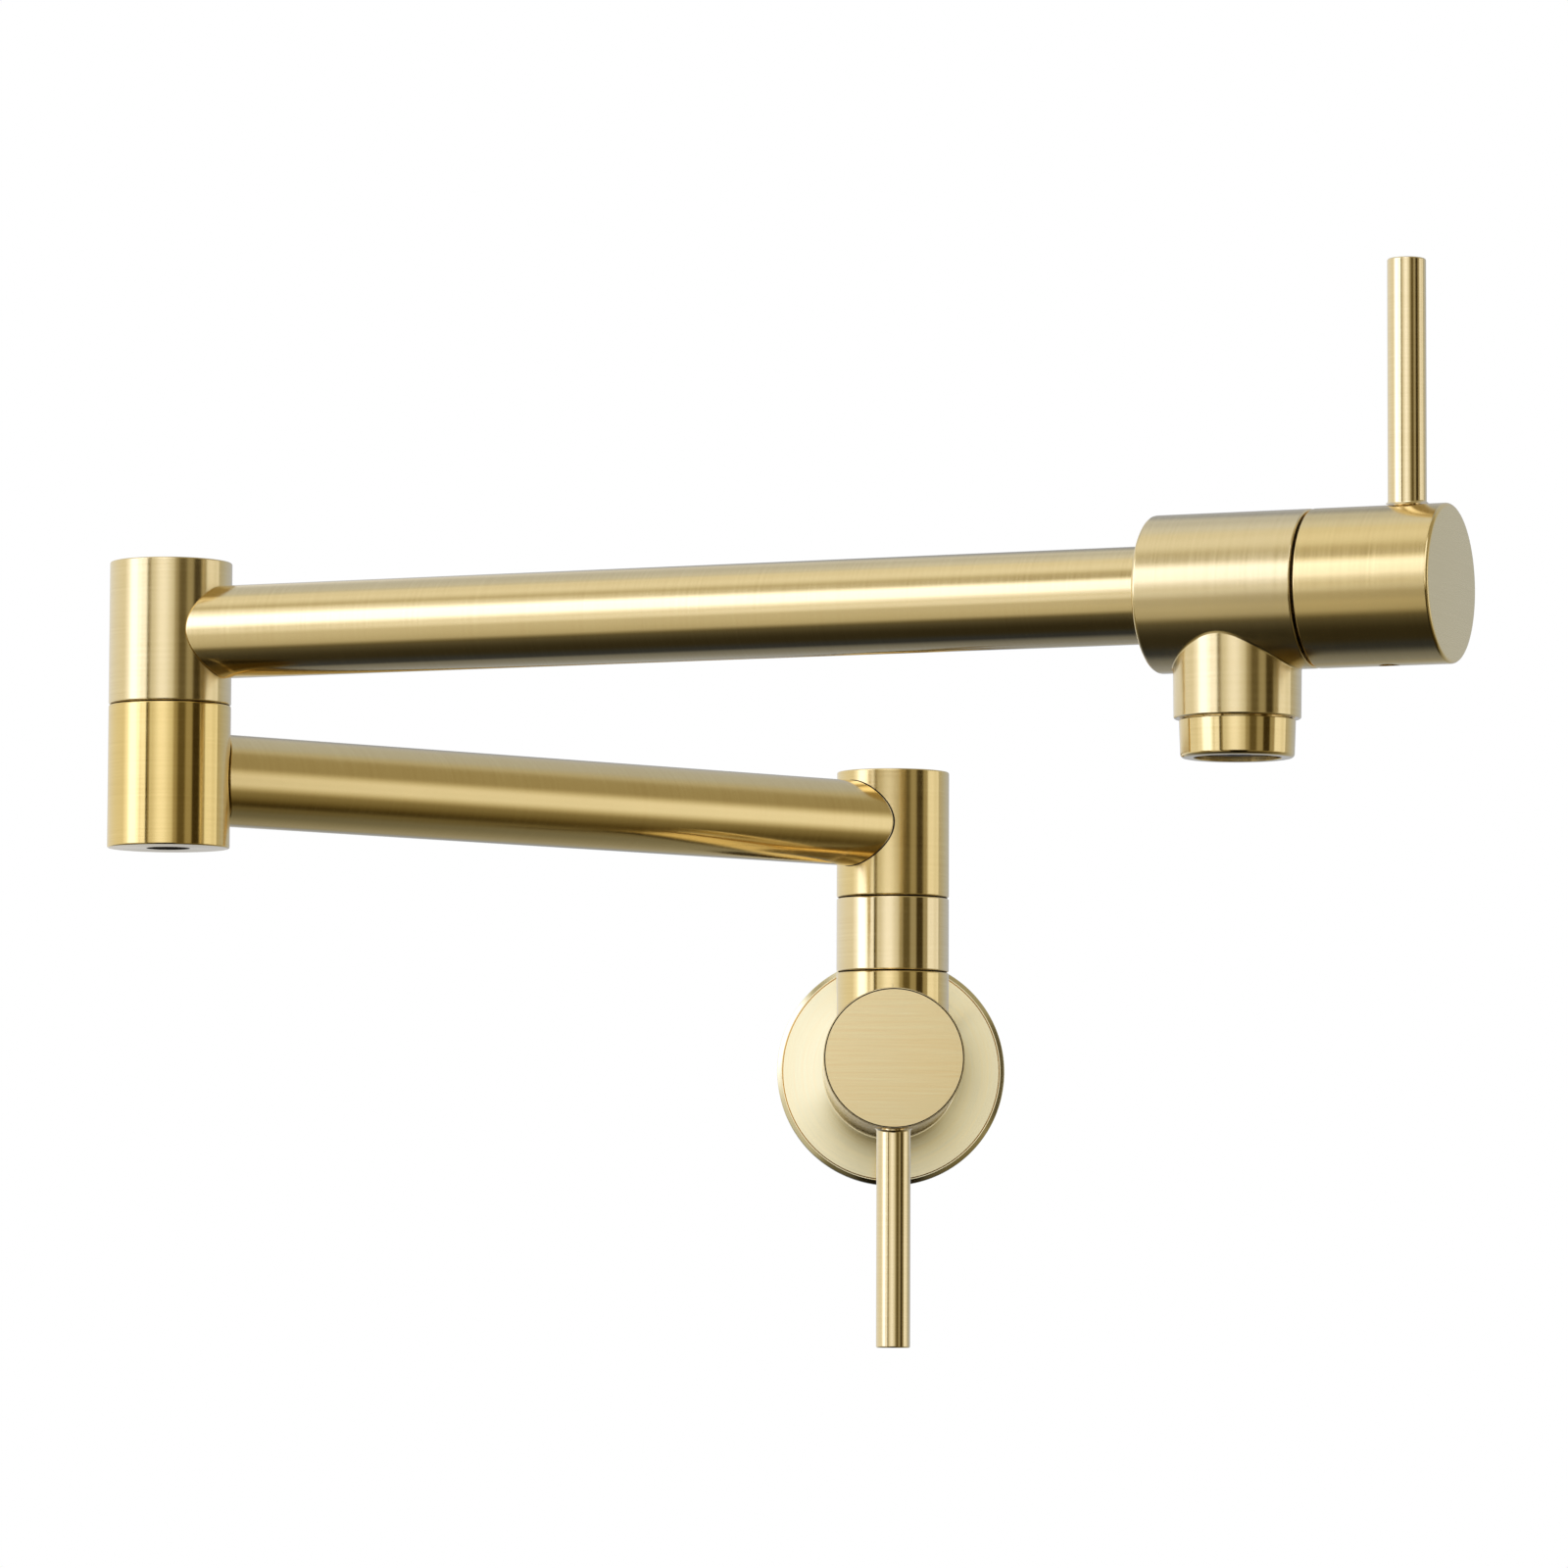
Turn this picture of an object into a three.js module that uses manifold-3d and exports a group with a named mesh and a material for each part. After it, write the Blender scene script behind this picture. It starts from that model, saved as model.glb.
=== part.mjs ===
// Wall mounted pot filler with a double-jointed arm, two quarter-turn valves and an aerated spout.
// Millimetres. +X is to the right, +Y into the wall, +Z up. The origin is the centre of the wall
// flange's back face, so the wall is the plane Y = 0.

import * as THREE from 'three';
import { mergeVertices } from 'three/addons/utils/BufferGeometryUtils.js';
import Module from 'manifold-3d';

const wasm = await Module();
wasm.setup();

// ---------------------------------------------------------------- driving dimensions

// Clearances
const SEAT_GAP = 0.3; // between pieces that seat on or run in each other
const CAP_GAP = 0.7; // open seam between a valve body and its handle cap
const ELBOW_GAP = 0.5; // open seam between the elbow's two knuckles

// Turned edges
const EDGE = 0.4; // chamfer on turned ends
const BACK_EDGE = 1.0; // larger round-over behind the outlet valve

// Wall flange
const FLANGE_RADIUS = 30;
const FLANGE_DEPTH = 7;
const FLANGE_WALL = 1.8;
const FLANGE_BEVEL = 1.1;
const FLANGE_HUB_WALL = 2.1;
const FLANGE_HUB_BACKSET = 1.5; // hub and valve body stop this far short of the wall

// Inlet, for a half inch pipe thread
const INLET_THREAD_RADIUS = 10.45;
const INLET_BORE_RADIUS = 7.2;
const INLET_ENGAGEMENT = 15;
const INLET_REACH = 22; // nipple beyond the wall's face
const INLET_WASHER_THICKNESS = 1.5;

// Valve bodies, handle caps and levers, the same at the wall and at the outlet
const VALVE_RADIUS = 17.75;
const VALVE_REACH = 48; // wall to the neck's axis
const VALVE_FRONT = 18.5; // branch axis to the seam in front of it
const VALVE_BACK = 19; // branch axis to the outlet body's back face
const CAP_LENGTH = 31.5;
const CAP_WALL = 3.5;
const CAP_NOSE = 19; // solid front part of the cap
const LEVER_RADIUS = 4.3;
const LEVER_LENGTH = 54.8; // standing out of the cap
const LEVER_SETBACK = 10.3; // lever axis behind the cap's front face
const LEVER_TENON_RADIUS = 3;
const LEVER_TENON_LENGTH = 7;
const GRUB_SETBACK = 14.5; // grub screw axis behind the cap's front face
const GRUB_RADIUS = 2;
const GRUB_LENGTH = 8;
const GRUB_SOCKET_RADIUS = 1.15;
const GRUB_SOCKET_DEPTH = 3;

// Quarter-turn ceramic headwork
const HEADWORK_THREAD_RADIUS = 10.3;
const HEADWORK_THREAD_LENGTH = 10;
const HEADWORK_NOSE_RADIUS = 8.8;
const HEADWORK_WALL = 0.8;
const HEADWORK_HEX_LENGTH = 6.4;
const HEADWORK_BOSS_LENGTH = 3;
const WINDOW_WIDTH = 9;
const WINDOW_HEIGHT = 4;
const SEAT_DEPTH = 9.5; // branch axis back to the valve seat
const WATERWAY_RADIUS = 5.2;
const SEAL_THICKNESS = 1.8;
const DISC_THICKNESS = 2.5;
const DISC_OPENING = THREE.MathUtils.degToRad(76); // each of a disc's two waterways
const DRIVE_SLOT_WIDTH = 3.2;
const DRIVE_SLOT_LENGTH = 9;
const DRIVE_FOOT_THICKNESS = 2;
const STEM_RADIUS = 4.9;
const STEM_GROOVE_DEPTH = 1.6;
const SPLINE_RADIUS = 3.9;
const SPLINE_DEPTH = 0.5;
const SPLINE_TEETH = 16;
const SPLINE_LENGTH = 8;
const CLIP_THICKNESS = 0.6;
const CLIP_WIDTH = 3.2;
const CLIP_MOUTH = THREE.MathUtils.degToRad(70);

// Neck, swivel nut and wall knuckle, stacked on the neck's axis
const KNUCKLE_RADIUS = 14.5;
const NECK_HEIGHT = 24; // valve axis to the nut's lower seam
const NECK_STUB_LENGTH = 9; // threaded part of the neck, inside the nut
const NUT_HEIGHT = 19.2;
const NUT_WALL = 2.4;
const WALL_KNUCKLE_HEIGHT = 32.6;

// Arms
const INNER_TUBE_HEIGHT = 62; // valve axis to the inner tube's axis
const KNUCKLE_HEIGHT = 34; // each of the elbow's two knuckles
const TUBE_RADIUS = 11;
const TUBE_WALL = 1.4;
const SPIGOT_WALL = 1.3;
const SPIGOT_LENGTH = 7; // spigot beyond the knuckle's side, inside the tube
const INNER_ARM_LENGTH = 230; // neck axis to elbow axis
const OUTER_ARM_LENGTH = 268; // elbow axis to spout axis
const TUBE_SOCKET_DEPTH = 6; // outer tube inside the outlet valve body
const INNER_ARM_SWING = THREE.MathUtils.degToRad(48.85); // from straight out, towards -X
const OUTER_ARM_SWING = THREE.MathUtils.degToRad(67.4); // from straight out, towards +X

// Hollow swivel posts and their rubber rings
const POST_RADIUS = 7.9;
const POST_WALL = 3.1;
const POST_GRIP = 7.5; // threaded length inside a knuckle
const POST_FLANGE_THICKNESS = 2.5;
const NECK_POST_DEPTH = 20; // post below its flange, in the neck
const CHAMBER_STEP = 1.2; // shoulder that a post is screwed up against
const WAIST_DEPTH = 1.5;
const WAIST_HEIGHT = 9.6; // ported waist, level with the inner tube
const POST_PORT_RADIUS = 2.6;
const RING_GROOVE_DEPTH = 2;
const RING_GROOVE_WIDTH = 2.2;
const SLIP_WASHER_THICKNESS = 1.2;
const SLIP_WASHER_WIDTH = 3;

// Screw that holds the elbow together from underneath
const SCREW_RADIUS = 2.5;
const SCREW_HEAD_RADIUS = 4.6;
const SCREW_HEAD_HEIGHT = 2.4;
const SCREW_SOCKET_RADIUS = 1.75;
const SCREW_SOCKET_DEPTH = 1.5;
const SCREW_WASHER_THICKNESS = 0.9;
const SCREW_GRIP = 3.5;
const SCREW_RECESS_RADIUS = 5.2;
const SCREW_RECESS_DEPTH = 4.5;
const ELBOW_WEB = 2.5;

// Spout branch and aerator, measured down from the outlet valve's axis
const SPOUT_TOP_RADIUS = 14.5;
const SPOUT_END_RADIUS = 14.2;
const SPOUT_LENGTH = 28.6;
const SPOUT_BORE_RADIUS = 8;
const AERATOR_THREAD_RADIUS = 12;
const AERATOR_THREAD_LENGTH = 7.5;
const AERATOR_RADIUS = 13;
const AERATOR_TAPER = 0.3;
const AERATOR_HEIGHT = 8.6;
const AERATOR_BOTTOM_ROUND = 0.9;
const AERATOR_WALL = 1.3;
const AERATOR_LIP = 0.9;
const AERATOR_GASKET_THICKNESS = 0.9;
const DIFFUSER_THICKNESS = 2.2;
const DIFFUSER_HOLES = 6;
const DIFFUSER_HOLE_RADIUS = 1.2;
const GRILLE_THICKNESS = 2.6;
const GRILLE_SKIRT = 1.1;
const GRILLE_CELL_RADIUS = 1.4;
const GRILLE_RIB = 0.6;

// Facets round a full circle
const BODY_SIDES = 28; // outside of the large turned pieces
const TUBE_SIDES = 24; // tubes and the aerator
const BORE_SIDES = 20; // larger bores and what is inside them
const SMALL_SIDES = 16; // small bores and pieces
const SHAFT_SIDES = 12;
const RING_SIDES = 12;
const RING_SECTION_SIDES = 5;
const ROUND_SIDES = 8; // small holes and round-overs

// ---------------------------------------------------------------- derived places

// Along a valve's axis, from its branch towards the handle
const wallPlane = -VALVE_REACH;
const flangeFront = wallPlane + FLANGE_DEPTH;
const hubBack = wallPlane + FLANGE_HUB_BACKSET;
const hubBore = VALVE_RADIUS + SEAT_GAP;
const flangeGroove = VALVE_RADIUS - RING_GROOVE_DEPTH;
const flangeRingHeight = (hubBack + flangeFront) / 2;
const nippleInner = wallPlane + INLET_ENGAGEMENT;
const inletFloor = nippleInner + INLET_WASHER_THICKNESS + 2 * SEAT_GAP;
const bodyFront = VALVE_FRONT - CAP_GAP / 2;
const capBack = VALVE_FRONT + CAP_GAP / 2;
const capFront = VALVE_FRONT + CAP_LENGTH;
const capFloor = capFront - CAP_NOSE;
const capBore = VALVE_RADIUS - CAP_WALL;
const leverHeight = capFront - LEVER_SETBACK;
const grubHeight = capFront - GRUB_SETBACK;
const tubeSocketFloor = -VALVE_BACK + TUBE_SOCKET_DEPTH + SEAT_GAP;

// Headwork, from the seat forwards
const nose = -SEAT_DEPTH + 2 * SEAT_GAP;
const sealLow = -SEAT_DEPTH + SEAT_GAP;
const fixedDiscLow = sealLow + SEAL_THICKNESS + SEAT_GAP;
const movingDiscLow = fixedDiscLow + DISC_THICKNESS + SEAT_GAP;
const footLow = movingDiscLow + DISC_THICKNESS + SEAT_GAP;
const footHigh = footLow + DRIVE_FOOT_THICKNESS;
const windowLow = footHigh + SEAT_GAP;
const windowHigh = windowLow + WINDOW_HEIGHT;
const chamberTop = windowHigh + SEAT_GAP;
const hexLow = bodyFront + SEAT_GAP;
const hexHigh = hexLow + HEADWORK_HEX_LENGTH;
const threadLow = hexLow - HEADWORK_THREAD_LENGTH;
const bossHigh = hexHigh + HEADWORK_BOSS_LENGTH;
const clipLow = bossHigh + 2 * SEAT_GAP;
const clipHigh = clipLow + CLIP_THICKNESS;
const splineLow = clipHigh + SEAT_GAP;
const splineHigh = capFloor + SPLINE_LENGTH;
const stemRingHeight = (threadLow + hexHigh) / 2;
const headworkInside = HEADWORK_NOSE_RADIUS - HEADWORK_WALL;
const discRadius = headworkInside - SEAT_GAP;
const stemBore = STEM_RADIUS + SEAT_GAP;
const stemGroove = STEM_RADIUS - STEM_GROOVE_DEPTH;
const clipGroove = SPLINE_RADIUS - SPLINE_DEPTH - SEAT_GAP;
const clipInner = clipGroove + SEAT_GAP;
const bossRadius = clipInner + CLIP_WIDTH;
const hexCorner = capBore - 5 * SEAT_GAP;

// Heights on the neck's axis, from the valve's axis up
const neckTop = NECK_HEIGHT - SEAT_GAP / 2;
const nutBottom = NECK_HEIGHT + SEAT_GAP / 2;
const nutSeam = NECK_HEIGHT + NUT_HEIGHT;
const nutTop = nutSeam - SEAT_GAP / 2;
const wallKnuckleBottom = nutSeam + SEAT_GAP / 2;
const wallKnuckleTop = nutSeam + WALL_KNUCKLE_HEIGHT;
const nutThread = KNUCKLE_RADIUS - NUT_WALL;
const neckStubRadius = nutThread - SEAT_GAP;
const neckStubTop = NECK_HEIGHT + NECK_STUB_LENGTH;
const postFlangeRadius = neckStubRadius - SEAT_GAP;
const postFlangeBottom = neckStubTop + SEAT_GAP;
const postFlangeTop = postFlangeBottom + POST_FLANGE_THICKNESS;
const nutWebBottom = postFlangeTop + SLIP_WASHER_THICKNESS + 2 * SEAT_GAP;
const neckPostBottom = postFlangeBottom - NECK_POST_DEPTH;
const neckPostTop = wallKnuckleBottom + POST_GRIP;

// Elbow
const elbowBottom = INNER_TUBE_HEIGHT - KNUCKLE_HEIGHT / 2;
const elbowSeam = elbowBottom + KNUCKLE_HEIGHT;
const lowerKnuckleTop = elbowSeam - ELBOW_GAP / 2;
const upperKnuckleBottom = elbowSeam + ELBOW_GAP / 2;
const upperKnuckleTop = elbowSeam + KNUCKLE_HEIGHT;
const outerTubeHeight = elbowSeam + KNUCKLE_HEIGHT / 2;
const screwCeiling = elbowBottom + SCREW_RECESS_DEPTH;
const elbowPostBottom = screwCeiling + ELBOW_WEB + SEAT_GAP;
const elbowPostTop = upperKnuckleBottom + POST_GRIP;
const screwHoleTop = elbowPostBottom + SCREW_GRIP + SEAT_GAP;
const waistLow = INNER_TUBE_HEIGHT - WAIST_HEIGHT / 2;
const waistHigh = INNER_TUBE_HEIGHT + WAIST_HEIGHT / 2;

// Posts, tubes and their fits
const postBore = POST_RADIUS + SEAT_GAP;
const postInside = POST_RADIUS - POST_WALL;
const ringGroove = POST_RADIUS - RING_GROOVE_DEPTH;
const washerInner = POST_RADIUS + 2 * SEAT_GAP;
const washerOuter = washerInner + SLIP_WASHER_WIDTH;
const tubeInside = TUBE_RADIUS - TUBE_WALL;
const spigotRadius = tubeInside - SEAT_GAP;
const tubeWaterway = spigotRadius - SPIGOT_WALL;

// Spout, from the outlet valve's axis down
const spoutEnd = SPOUT_LENGTH - SEAT_GAP / 2;
const aeratorShoulder = SPOUT_LENGTH + SEAT_GAP / 2;
const aeratorTop = aeratorShoulder - AERATOR_THREAD_LENGTH;
const aeratorBottom = SPOUT_LENGTH + AERATOR_HEIGHT;
const aeratorInside = AERATOR_THREAD_RADIUS - AERATOR_WALL;
const insertRadius = aeratorInside - SEAT_GAP;
const gasketLow = aeratorTop - SEAT_GAP - AERATOR_GASKET_THICKNESS;
const diffuserHigh = aeratorTop + DIFFUSER_THICKNESS;
const insertLow = diffuserHigh + SEAT_GAP;
const insertHigh = aeratorBottom - AERATOR_LIP - SEAT_GAP;

// ---------------------------------------------------------------- solids

const UP = new THREE.Vector3(0, 0, 1);
const ALONG_X = new THREE.Vector3(1, 0, 0);
const ALONG_Y = new THREE.Vector3(0, 1, 0);
const BACK_ALONG_X = new THREE.Vector3(-1, 0, 0);
const THROUGH = 1; // a cut runs this far past the face that it opens

// Places a shape that is drawn about +Z so that it points along another direction.
function pointed(direction, height = 0) {
  const turn = new THREE.Quaternion().setFromUnitVectors(UP, direction);
  return new THREE.Matrix4().makeRotationFromQuaternion(turn).setPosition(0, 0, height);
}

// A valve's branch leaves opposite its lever.
const onBranch = pointed(BACK_ALONG_X);

function toSolid(source, place = new THREE.Matrix4()) {
  const geometry = source.clone();
  geometry.deleteAttribute('normal');
  geometry.deleteAttribute('uv');
  geometry.applyMatrix4(place);
  const welded = mergeVertices(geometry);
  const corners = welded.index.array;
  const triangles = [];
  for (let i = 0; i < corners.length; i += 3) {
    const [a, b, c] = corners.slice(i, i + 3);
    if (a !== b && b !== c && c !== a) triangles.push(a, b, c);
  }
  return new wasm.Manifold(new wasm.Mesh({
    numProp: 3,
    vertProperties: new Float32Array(welded.attributes.position.array),
    triVerts: new Uint32Array(triangles),
  }));
}

function toGeometry(solid) {
  const mesh = solid.getMesh();
  const geometry = new THREE.BufferGeometry();
  geometry.setAttribute('position', new THREE.BufferAttribute(mesh.vertProperties, 3));
  geometry.setIndex(new THREE.BufferAttribute(mesh.triVerts, 1));
  geometry.computeVertexNormals();
  return geometry;
}

// Revolves a [radius, height] outline about +Z. The outline runs out along its lower end, up its
// outside and back in, and either starts and ends on the axis or closes on itself.
function turned(outline, { sides = SMALL_SIDES, place } = {}) {
  const points = outline.map(([radius, height]) => new THREE.Vector2(radius, height));
  if (outline[0][0] > 0) points.push(points[0].clone());
  const geometry = new THREE.LatheGeometry(points, sides);
  geometry.rotateX(Math.PI / 2);
  return toSolid(geometry, place);
}

function rod(radius, low, high, { lowEdge = 0, highEdge = 0, ...options } = {}) {
  const outline = [[0, low]];
  if (lowEdge > 0) outline.push([radius - lowEdge, low]);
  outline.push([radius, low + lowEdge], [radius, high - highEdge]);
  if (highEdge > 0) outline.push([radius - highEdge, high]);
  outline.push([0, high]);
  return turned(outline, options);
}

function ring(inner, outer, low, high, options) {
  return turned([[inner, low], [outer, low], [outer, high], [inner, high]], options);
}

function extruded(shape, low, high, place) {
  const geometry = new THREE.ExtrudeGeometry(shape, { depth: high - low, bevelEnabled: false });
  geometry.translate(0, 0, low);
  return toSolid(geometry, place);
}

function block(length, width, low, high) {
  const geometry = new THREE.BoxGeometry(length, width, high - low);
  geometry.translate(0, 0, (low + high) / 2);
  return toSolid(geometry);
}

function hexPrism(corner, low, high, place) {
  return extruded(new THREE.Shape(polygon(corner, 6)), low, high, place);
}

function onCircle(radius, angle, [x, y] = [0, 0]) {
  return new THREE.Vector2(x + radius * Math.cos(angle), y + radius * Math.sin(angle));
}

// Corners of a regular polygon, the first of them at the given angle.
function polygon(radius, sides = SMALL_SIDES, centre = [0, 0], first = 0) {
  const step = (2 * Math.PI) / sides;
  return Array.from({ length: sides }, (_, i) => onCircle(radius, first + i * step, centre));
}

// Points from one angle to another, about as close together as the corners of a polygon.
function arc(radius, from, to, sides = SMALL_SIDES) {
  const steps = Math.max(2, Math.round((Math.abs(to - from) / (2 * Math.PI)) * sides));
  const step = (to - from) / steps;
  return Array.from({ length: steps + 1 }, (_, i) => onCircle(radius, from + i * step));
}

// Outline points of ring grooves down the side of a shaft, from the lowest groove up.
function grooves(radius, groove, heights) {
  return heights.flatMap((height) => {
    const [low, high] = [height - RING_GROOVE_WIDTH / 2, height + RING_GROOVE_WIDTH / 2];
    return [[radius, low], [groove, low], [groove, high], [radius, high]];
  });
}

// A rubber ring between the bottom of a groove and the bore round it.
function rubberRing(groove, bore, height, sides = RING_SIDES) {
  const section = (bore - groove) / 2 - SEAT_GAP;
  const middle = (bore + groove) / 2;
  const geometry = new THREE.TorusGeometry(middle, section, RING_SECTION_SIDES, sides);
  geometry.translate(0, 0, height);
  return toSolid(geometry);
}

// ---------------------------------------------------------------- materials

const FINISHES = {
  satinGold: { color: 0xcdb173, roughness: 0.32, metalness: 1 },
  plainBrass: { color: 0xc2a05a, roughness: 0.45, metalness: 1 },
  steel: { color: 0x9a9a98, roughness: 0.35, metalness: 1 },
  rubber: { color: 0x1d1d1d, roughness: 0.85, metalness: 0 },
  foam: { color: 0x333333, roughness: 0.95, metalness: 0 },
  slipPlastic: { color: 0xe9e7e0, roughness: 0.6, metalness: 0 },
  ceramic: { color: 0xf2efe6, roughness: 0.2, metalness: 0 },
  greyPlastic: { color: 0x5a5c60, roughness: 0.5, metalness: 0 },
};

function piece(name, solid, finish) {
  const mesh = new THREE.Mesh(toGeometry(solid), new THREE.MeshStandardMaterial(FINISHES[finish]));
  mesh.name = name;
  return mesh;
}

// ---------------------------------------------------------------- quarter-turn headwork
// A valve is drawn about its own axis: +Z towards the handle, +X along the lever, and the origin
// where the branch's axis crosses it.

// Bore that takes a headwork from the front: thread, chamber, seat and the waterway behind it.
function headworkBore(waterwayLow) {
  const thread = rod(
    HEADWORK_THREAD_RADIUS + SEAT_GAP, threadLow - SEAT_GAP, bodyFront + THROUGH, { sides: BORE_SIDES },
  );
  const chamber = rod(HEADWORK_NOSE_RADIUS + 3 * SEAT_GAP, -SEAT_DEPTH, threadLow);
  const waterway = rod(WATERWAY_RADIUS, waterwayLow, 0);
  return thread.add(chamber).add(waterway);
}

// Turned housing with a hex to drive it home and four side windows over the discs.
function headworkHousing() {
  const housing = turned([
    [headworkInside, nose],
    [HEADWORK_NOSE_RADIUS, nose],
    [HEADWORK_NOSE_RADIUS, threadLow],
    [HEADWORK_THREAD_RADIUS, threadLow],
    [HEADWORK_THREAD_RADIUS, hexHigh],
    [bossRadius, hexHigh],
    [bossRadius, bossHigh],
    [stemBore, bossHigh],
    [stemBore, chamberTop],
    [headworkInside, chamberTop],
  ]);
  const hex = hexPrism(hexCorner, hexLow, hexHigh)
    .subtract(rod(bossRadius, hexLow - THROUGH, hexHigh + THROUGH));
  const span = 3 * HEADWORK_NOSE_RADIUS;
  const windows = block(span, WINDOW_WIDTH, windowLow, windowHigh)
    .add(block(WINDOW_WIDTH, span, windowLow, windowHigh));
  return housing.add(hex).subtract(windows);
}

// Full disc with a pair of opposite sector waterways.
function fixedDisc() {
  const shape = new THREE.Shape(polygon(discRadius));
  for (const middle of [0, Math.PI]) {
    const [from, to] = [middle - DISC_OPENING / 2, middle + DISC_OPENING / 2];
    shape.holes.push(new THREE.Path([
      ...arc(WATERWAY_RADIUS, from, to),
      ...arc(DRIVE_SLOT_WIDTH / 2, to, from),
    ]));
  }
  return extruded(shape, fixedDiscLow, fixedDiscLow + DISC_THICKNESS);
}

// Two-lobed outline: the lobes cover the fixed disc's waterways until a quarter turn opens them.
function lobes() {
  const outline = [0, Math.PI].flatMap((middle) => {
    const edge = middle + (Math.PI - DISC_OPENING) / 2;
    return [
      ...arc(discRadius, 2 * middle - edge, edge),
      ...arc(DRIVE_SLOT_WIDTH, edge, edge + DISC_OPENING),
    ];
  });
  return new THREE.Shape(outline);
}

function movingDisc() {
  const slotLow = movingDiscLow + DISC_THICKNESS / 2;
  const slot = block(DRIVE_SLOT_LENGTH, DRIVE_SLOT_WIDTH, slotLow, footLow);
  return extruded(lobes(), movingDiscLow, movingDiscLow + DISC_THICKNESS).subtract(slot);
}

function splineOutline() {
  const points = Array.from({ length: 2 * SPLINE_TEETH }, (_, i) => {
    const radius = i % 2 === 0 ? SPLINE_RADIUS : SPLINE_RADIUS - SPLINE_DEPTH;
    return onCircle(radius, (Math.PI * i) / SPLINE_TEETH);
  });
  return new THREE.Shape(points);
}

// Stem: keyed foot on the moving disc, shaft with a ring groove and a clip groove, splined end.
function valveStem() {
  const keyLow = movingDiscLow + DISC_THICKNESS / 2 + SEAT_GAP;
  const foot = extruded(lobes(), footLow, footHigh);
  const key = block(DRIVE_SLOT_LENGTH - 2 * SEAT_GAP, DRIVE_SLOT_WIDTH - 2 * SEAT_GAP, keyLow, footHigh);
  const footMiddle = (footLow + footHigh) / 2;
  const shaft = turned([
    [0, footMiddle],
    [DRIVE_SLOT_WIDTH, footMiddle],
    [DRIVE_SLOT_WIDTH, windowHigh],
    [STEM_RADIUS, chamberTop + STEM_RADIUS - DRIVE_SLOT_WIDTH],
    ...grooves(STEM_RADIUS, stemGroove, [stemRingHeight]),
    [STEM_RADIUS, clipLow - SEAT_GAP],
    [clipGroove, clipLow - SEAT_GAP],
    [clipGroove, splineLow + SEAT_GAP],
    [0, splineLow + SEAT_GAP],
  ], { sides: SHAFT_SIDES });
  const spline = extruded(splineOutline(), splineLow, splineHigh);
  return foot.add(key).add(shaft).add(spline);
}

function stemClip() {
  const [from, to] = [CLIP_MOUTH / 2, 2 * Math.PI - CLIP_MOUTH / 2];
  const outline = [...arc(bossRadius, from, to), ...arc(clipInner, to, from)];
  return extruded(new THREE.Shape(outline), clipLow, clipHigh);
}

// ---------------------------------------------------------------- handle

// A turned cup over the headwork. Its solid nose is bored for the stem, the lever's tenon and,
// opposite the lever, the grub screw.
function handleCap() {
  const cup = rod(VALVE_RADIUS, capBack, capFront, { sides: BODY_SIDES, lowEdge: EDGE, highEdge: EDGE })
    .subtract(rod(capBore, capBack - THROUGH, capFloor, { sides: BORE_SIDES }));
  const socket = rod(
    SPLINE_RADIUS + SEAT_GAP, capFloor - THROUGH, splineHigh + SEAT_GAP,
  );
  const tenonHole = rod(
    LEVER_TENON_RADIUS + SEAT_GAP, VALVE_RADIUS - LEVER_TENON_LENGTH - SEAT_GAP, VALVE_RADIUS + THROUGH,
    { place: pointed(ALONG_X, leverHeight) },
  );
  const grubHole = rod(
    GRUB_RADIUS + SEAT_GAP, 0, VALVE_RADIUS + THROUGH,
    { place: pointed(BACK_ALONG_X, grubHeight) },
  );
  return cup.subtract(socket).subtract(tenonHole).subtract(grubHole);
}

// Round bar whose foot is coped to the cap, with a tenon that screws into it.
function lever() {
  const place = pointed(ALONG_X, leverHeight);
  const bar = rod(
    LEVER_RADIUS, VALVE_RADIUS / 2, VALVE_RADIUS + LEVER_LENGTH,
    { highEdge: EDGE, place },
  );
  const cope = rod(
    VALVE_RADIUS + SEAT_GAP, leverHeight - VALVE_RADIUS, leverHeight + VALVE_RADIUS, { sides: BODY_SIDES },
  );
  const tenon = rod(
    LEVER_TENON_RADIUS, VALVE_RADIUS - LEVER_TENON_LENGTH, VALVE_RADIUS + LEVER_TENON_LENGTH,
    { lowEdge: EDGE, place },
  );
  return bar.subtract(cope).add(tenon);
}

function grubScrew() {
  const place = pointed(BACK_ALONG_X, grubHeight);
  const low = SPLINE_RADIUS + SEAT_GAP;
  const high = low + GRUB_LENGTH;
  const screw = rod(GRUB_RADIUS, low, high, { lowEdge: EDGE, highEdge: EDGE, place });
  return screw.subtract(hexPrism(GRUB_SOCKET_RADIUS, high - GRUB_SOCKET_DEPTH, high + THROUGH, place));
}

// ---------------------------------------------------------------- valve bodies

// Shallow turned cup with a bevelled rim and a hub that slides on the valve body.
function wallFlange() {
  const plate = rod(FLANGE_RADIUS, wallPlane, flangeFront, { sides: BODY_SIDES, highEdge: FLANGE_BEVEL });
  const recess = rod(
    FLANGE_RADIUS - FLANGE_WALL, wallPlane - THROUGH, flangeFront - FLANGE_WALL, { sides: BORE_SIDES },
  );
  const hub = rod(hubBore + FLANGE_HUB_WALL, hubBack, flangeFront - FLANGE_WALL / 2, { sides: BORE_SIDES });
  const bore = rod(hubBore, wallPlane - THROUGH, flangeFront + THROUGH, { sides: BODY_SIDES });
  return plate.subtract(recess).add(hub).subtract(bore);
}

function flangeGasket() {
  const inner = hubBore + FLANGE_HUB_WALL + SEAT_GAP;
  const outer = FLANGE_RADIUS - FLANGE_WALL - SEAT_GAP;
  return ring(
    inner, outer, wallPlane + SEAT_GAP, flangeFront - FLANGE_WALL - SEAT_GAP, { sides: BORE_SIDES },
  );
}

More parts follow.
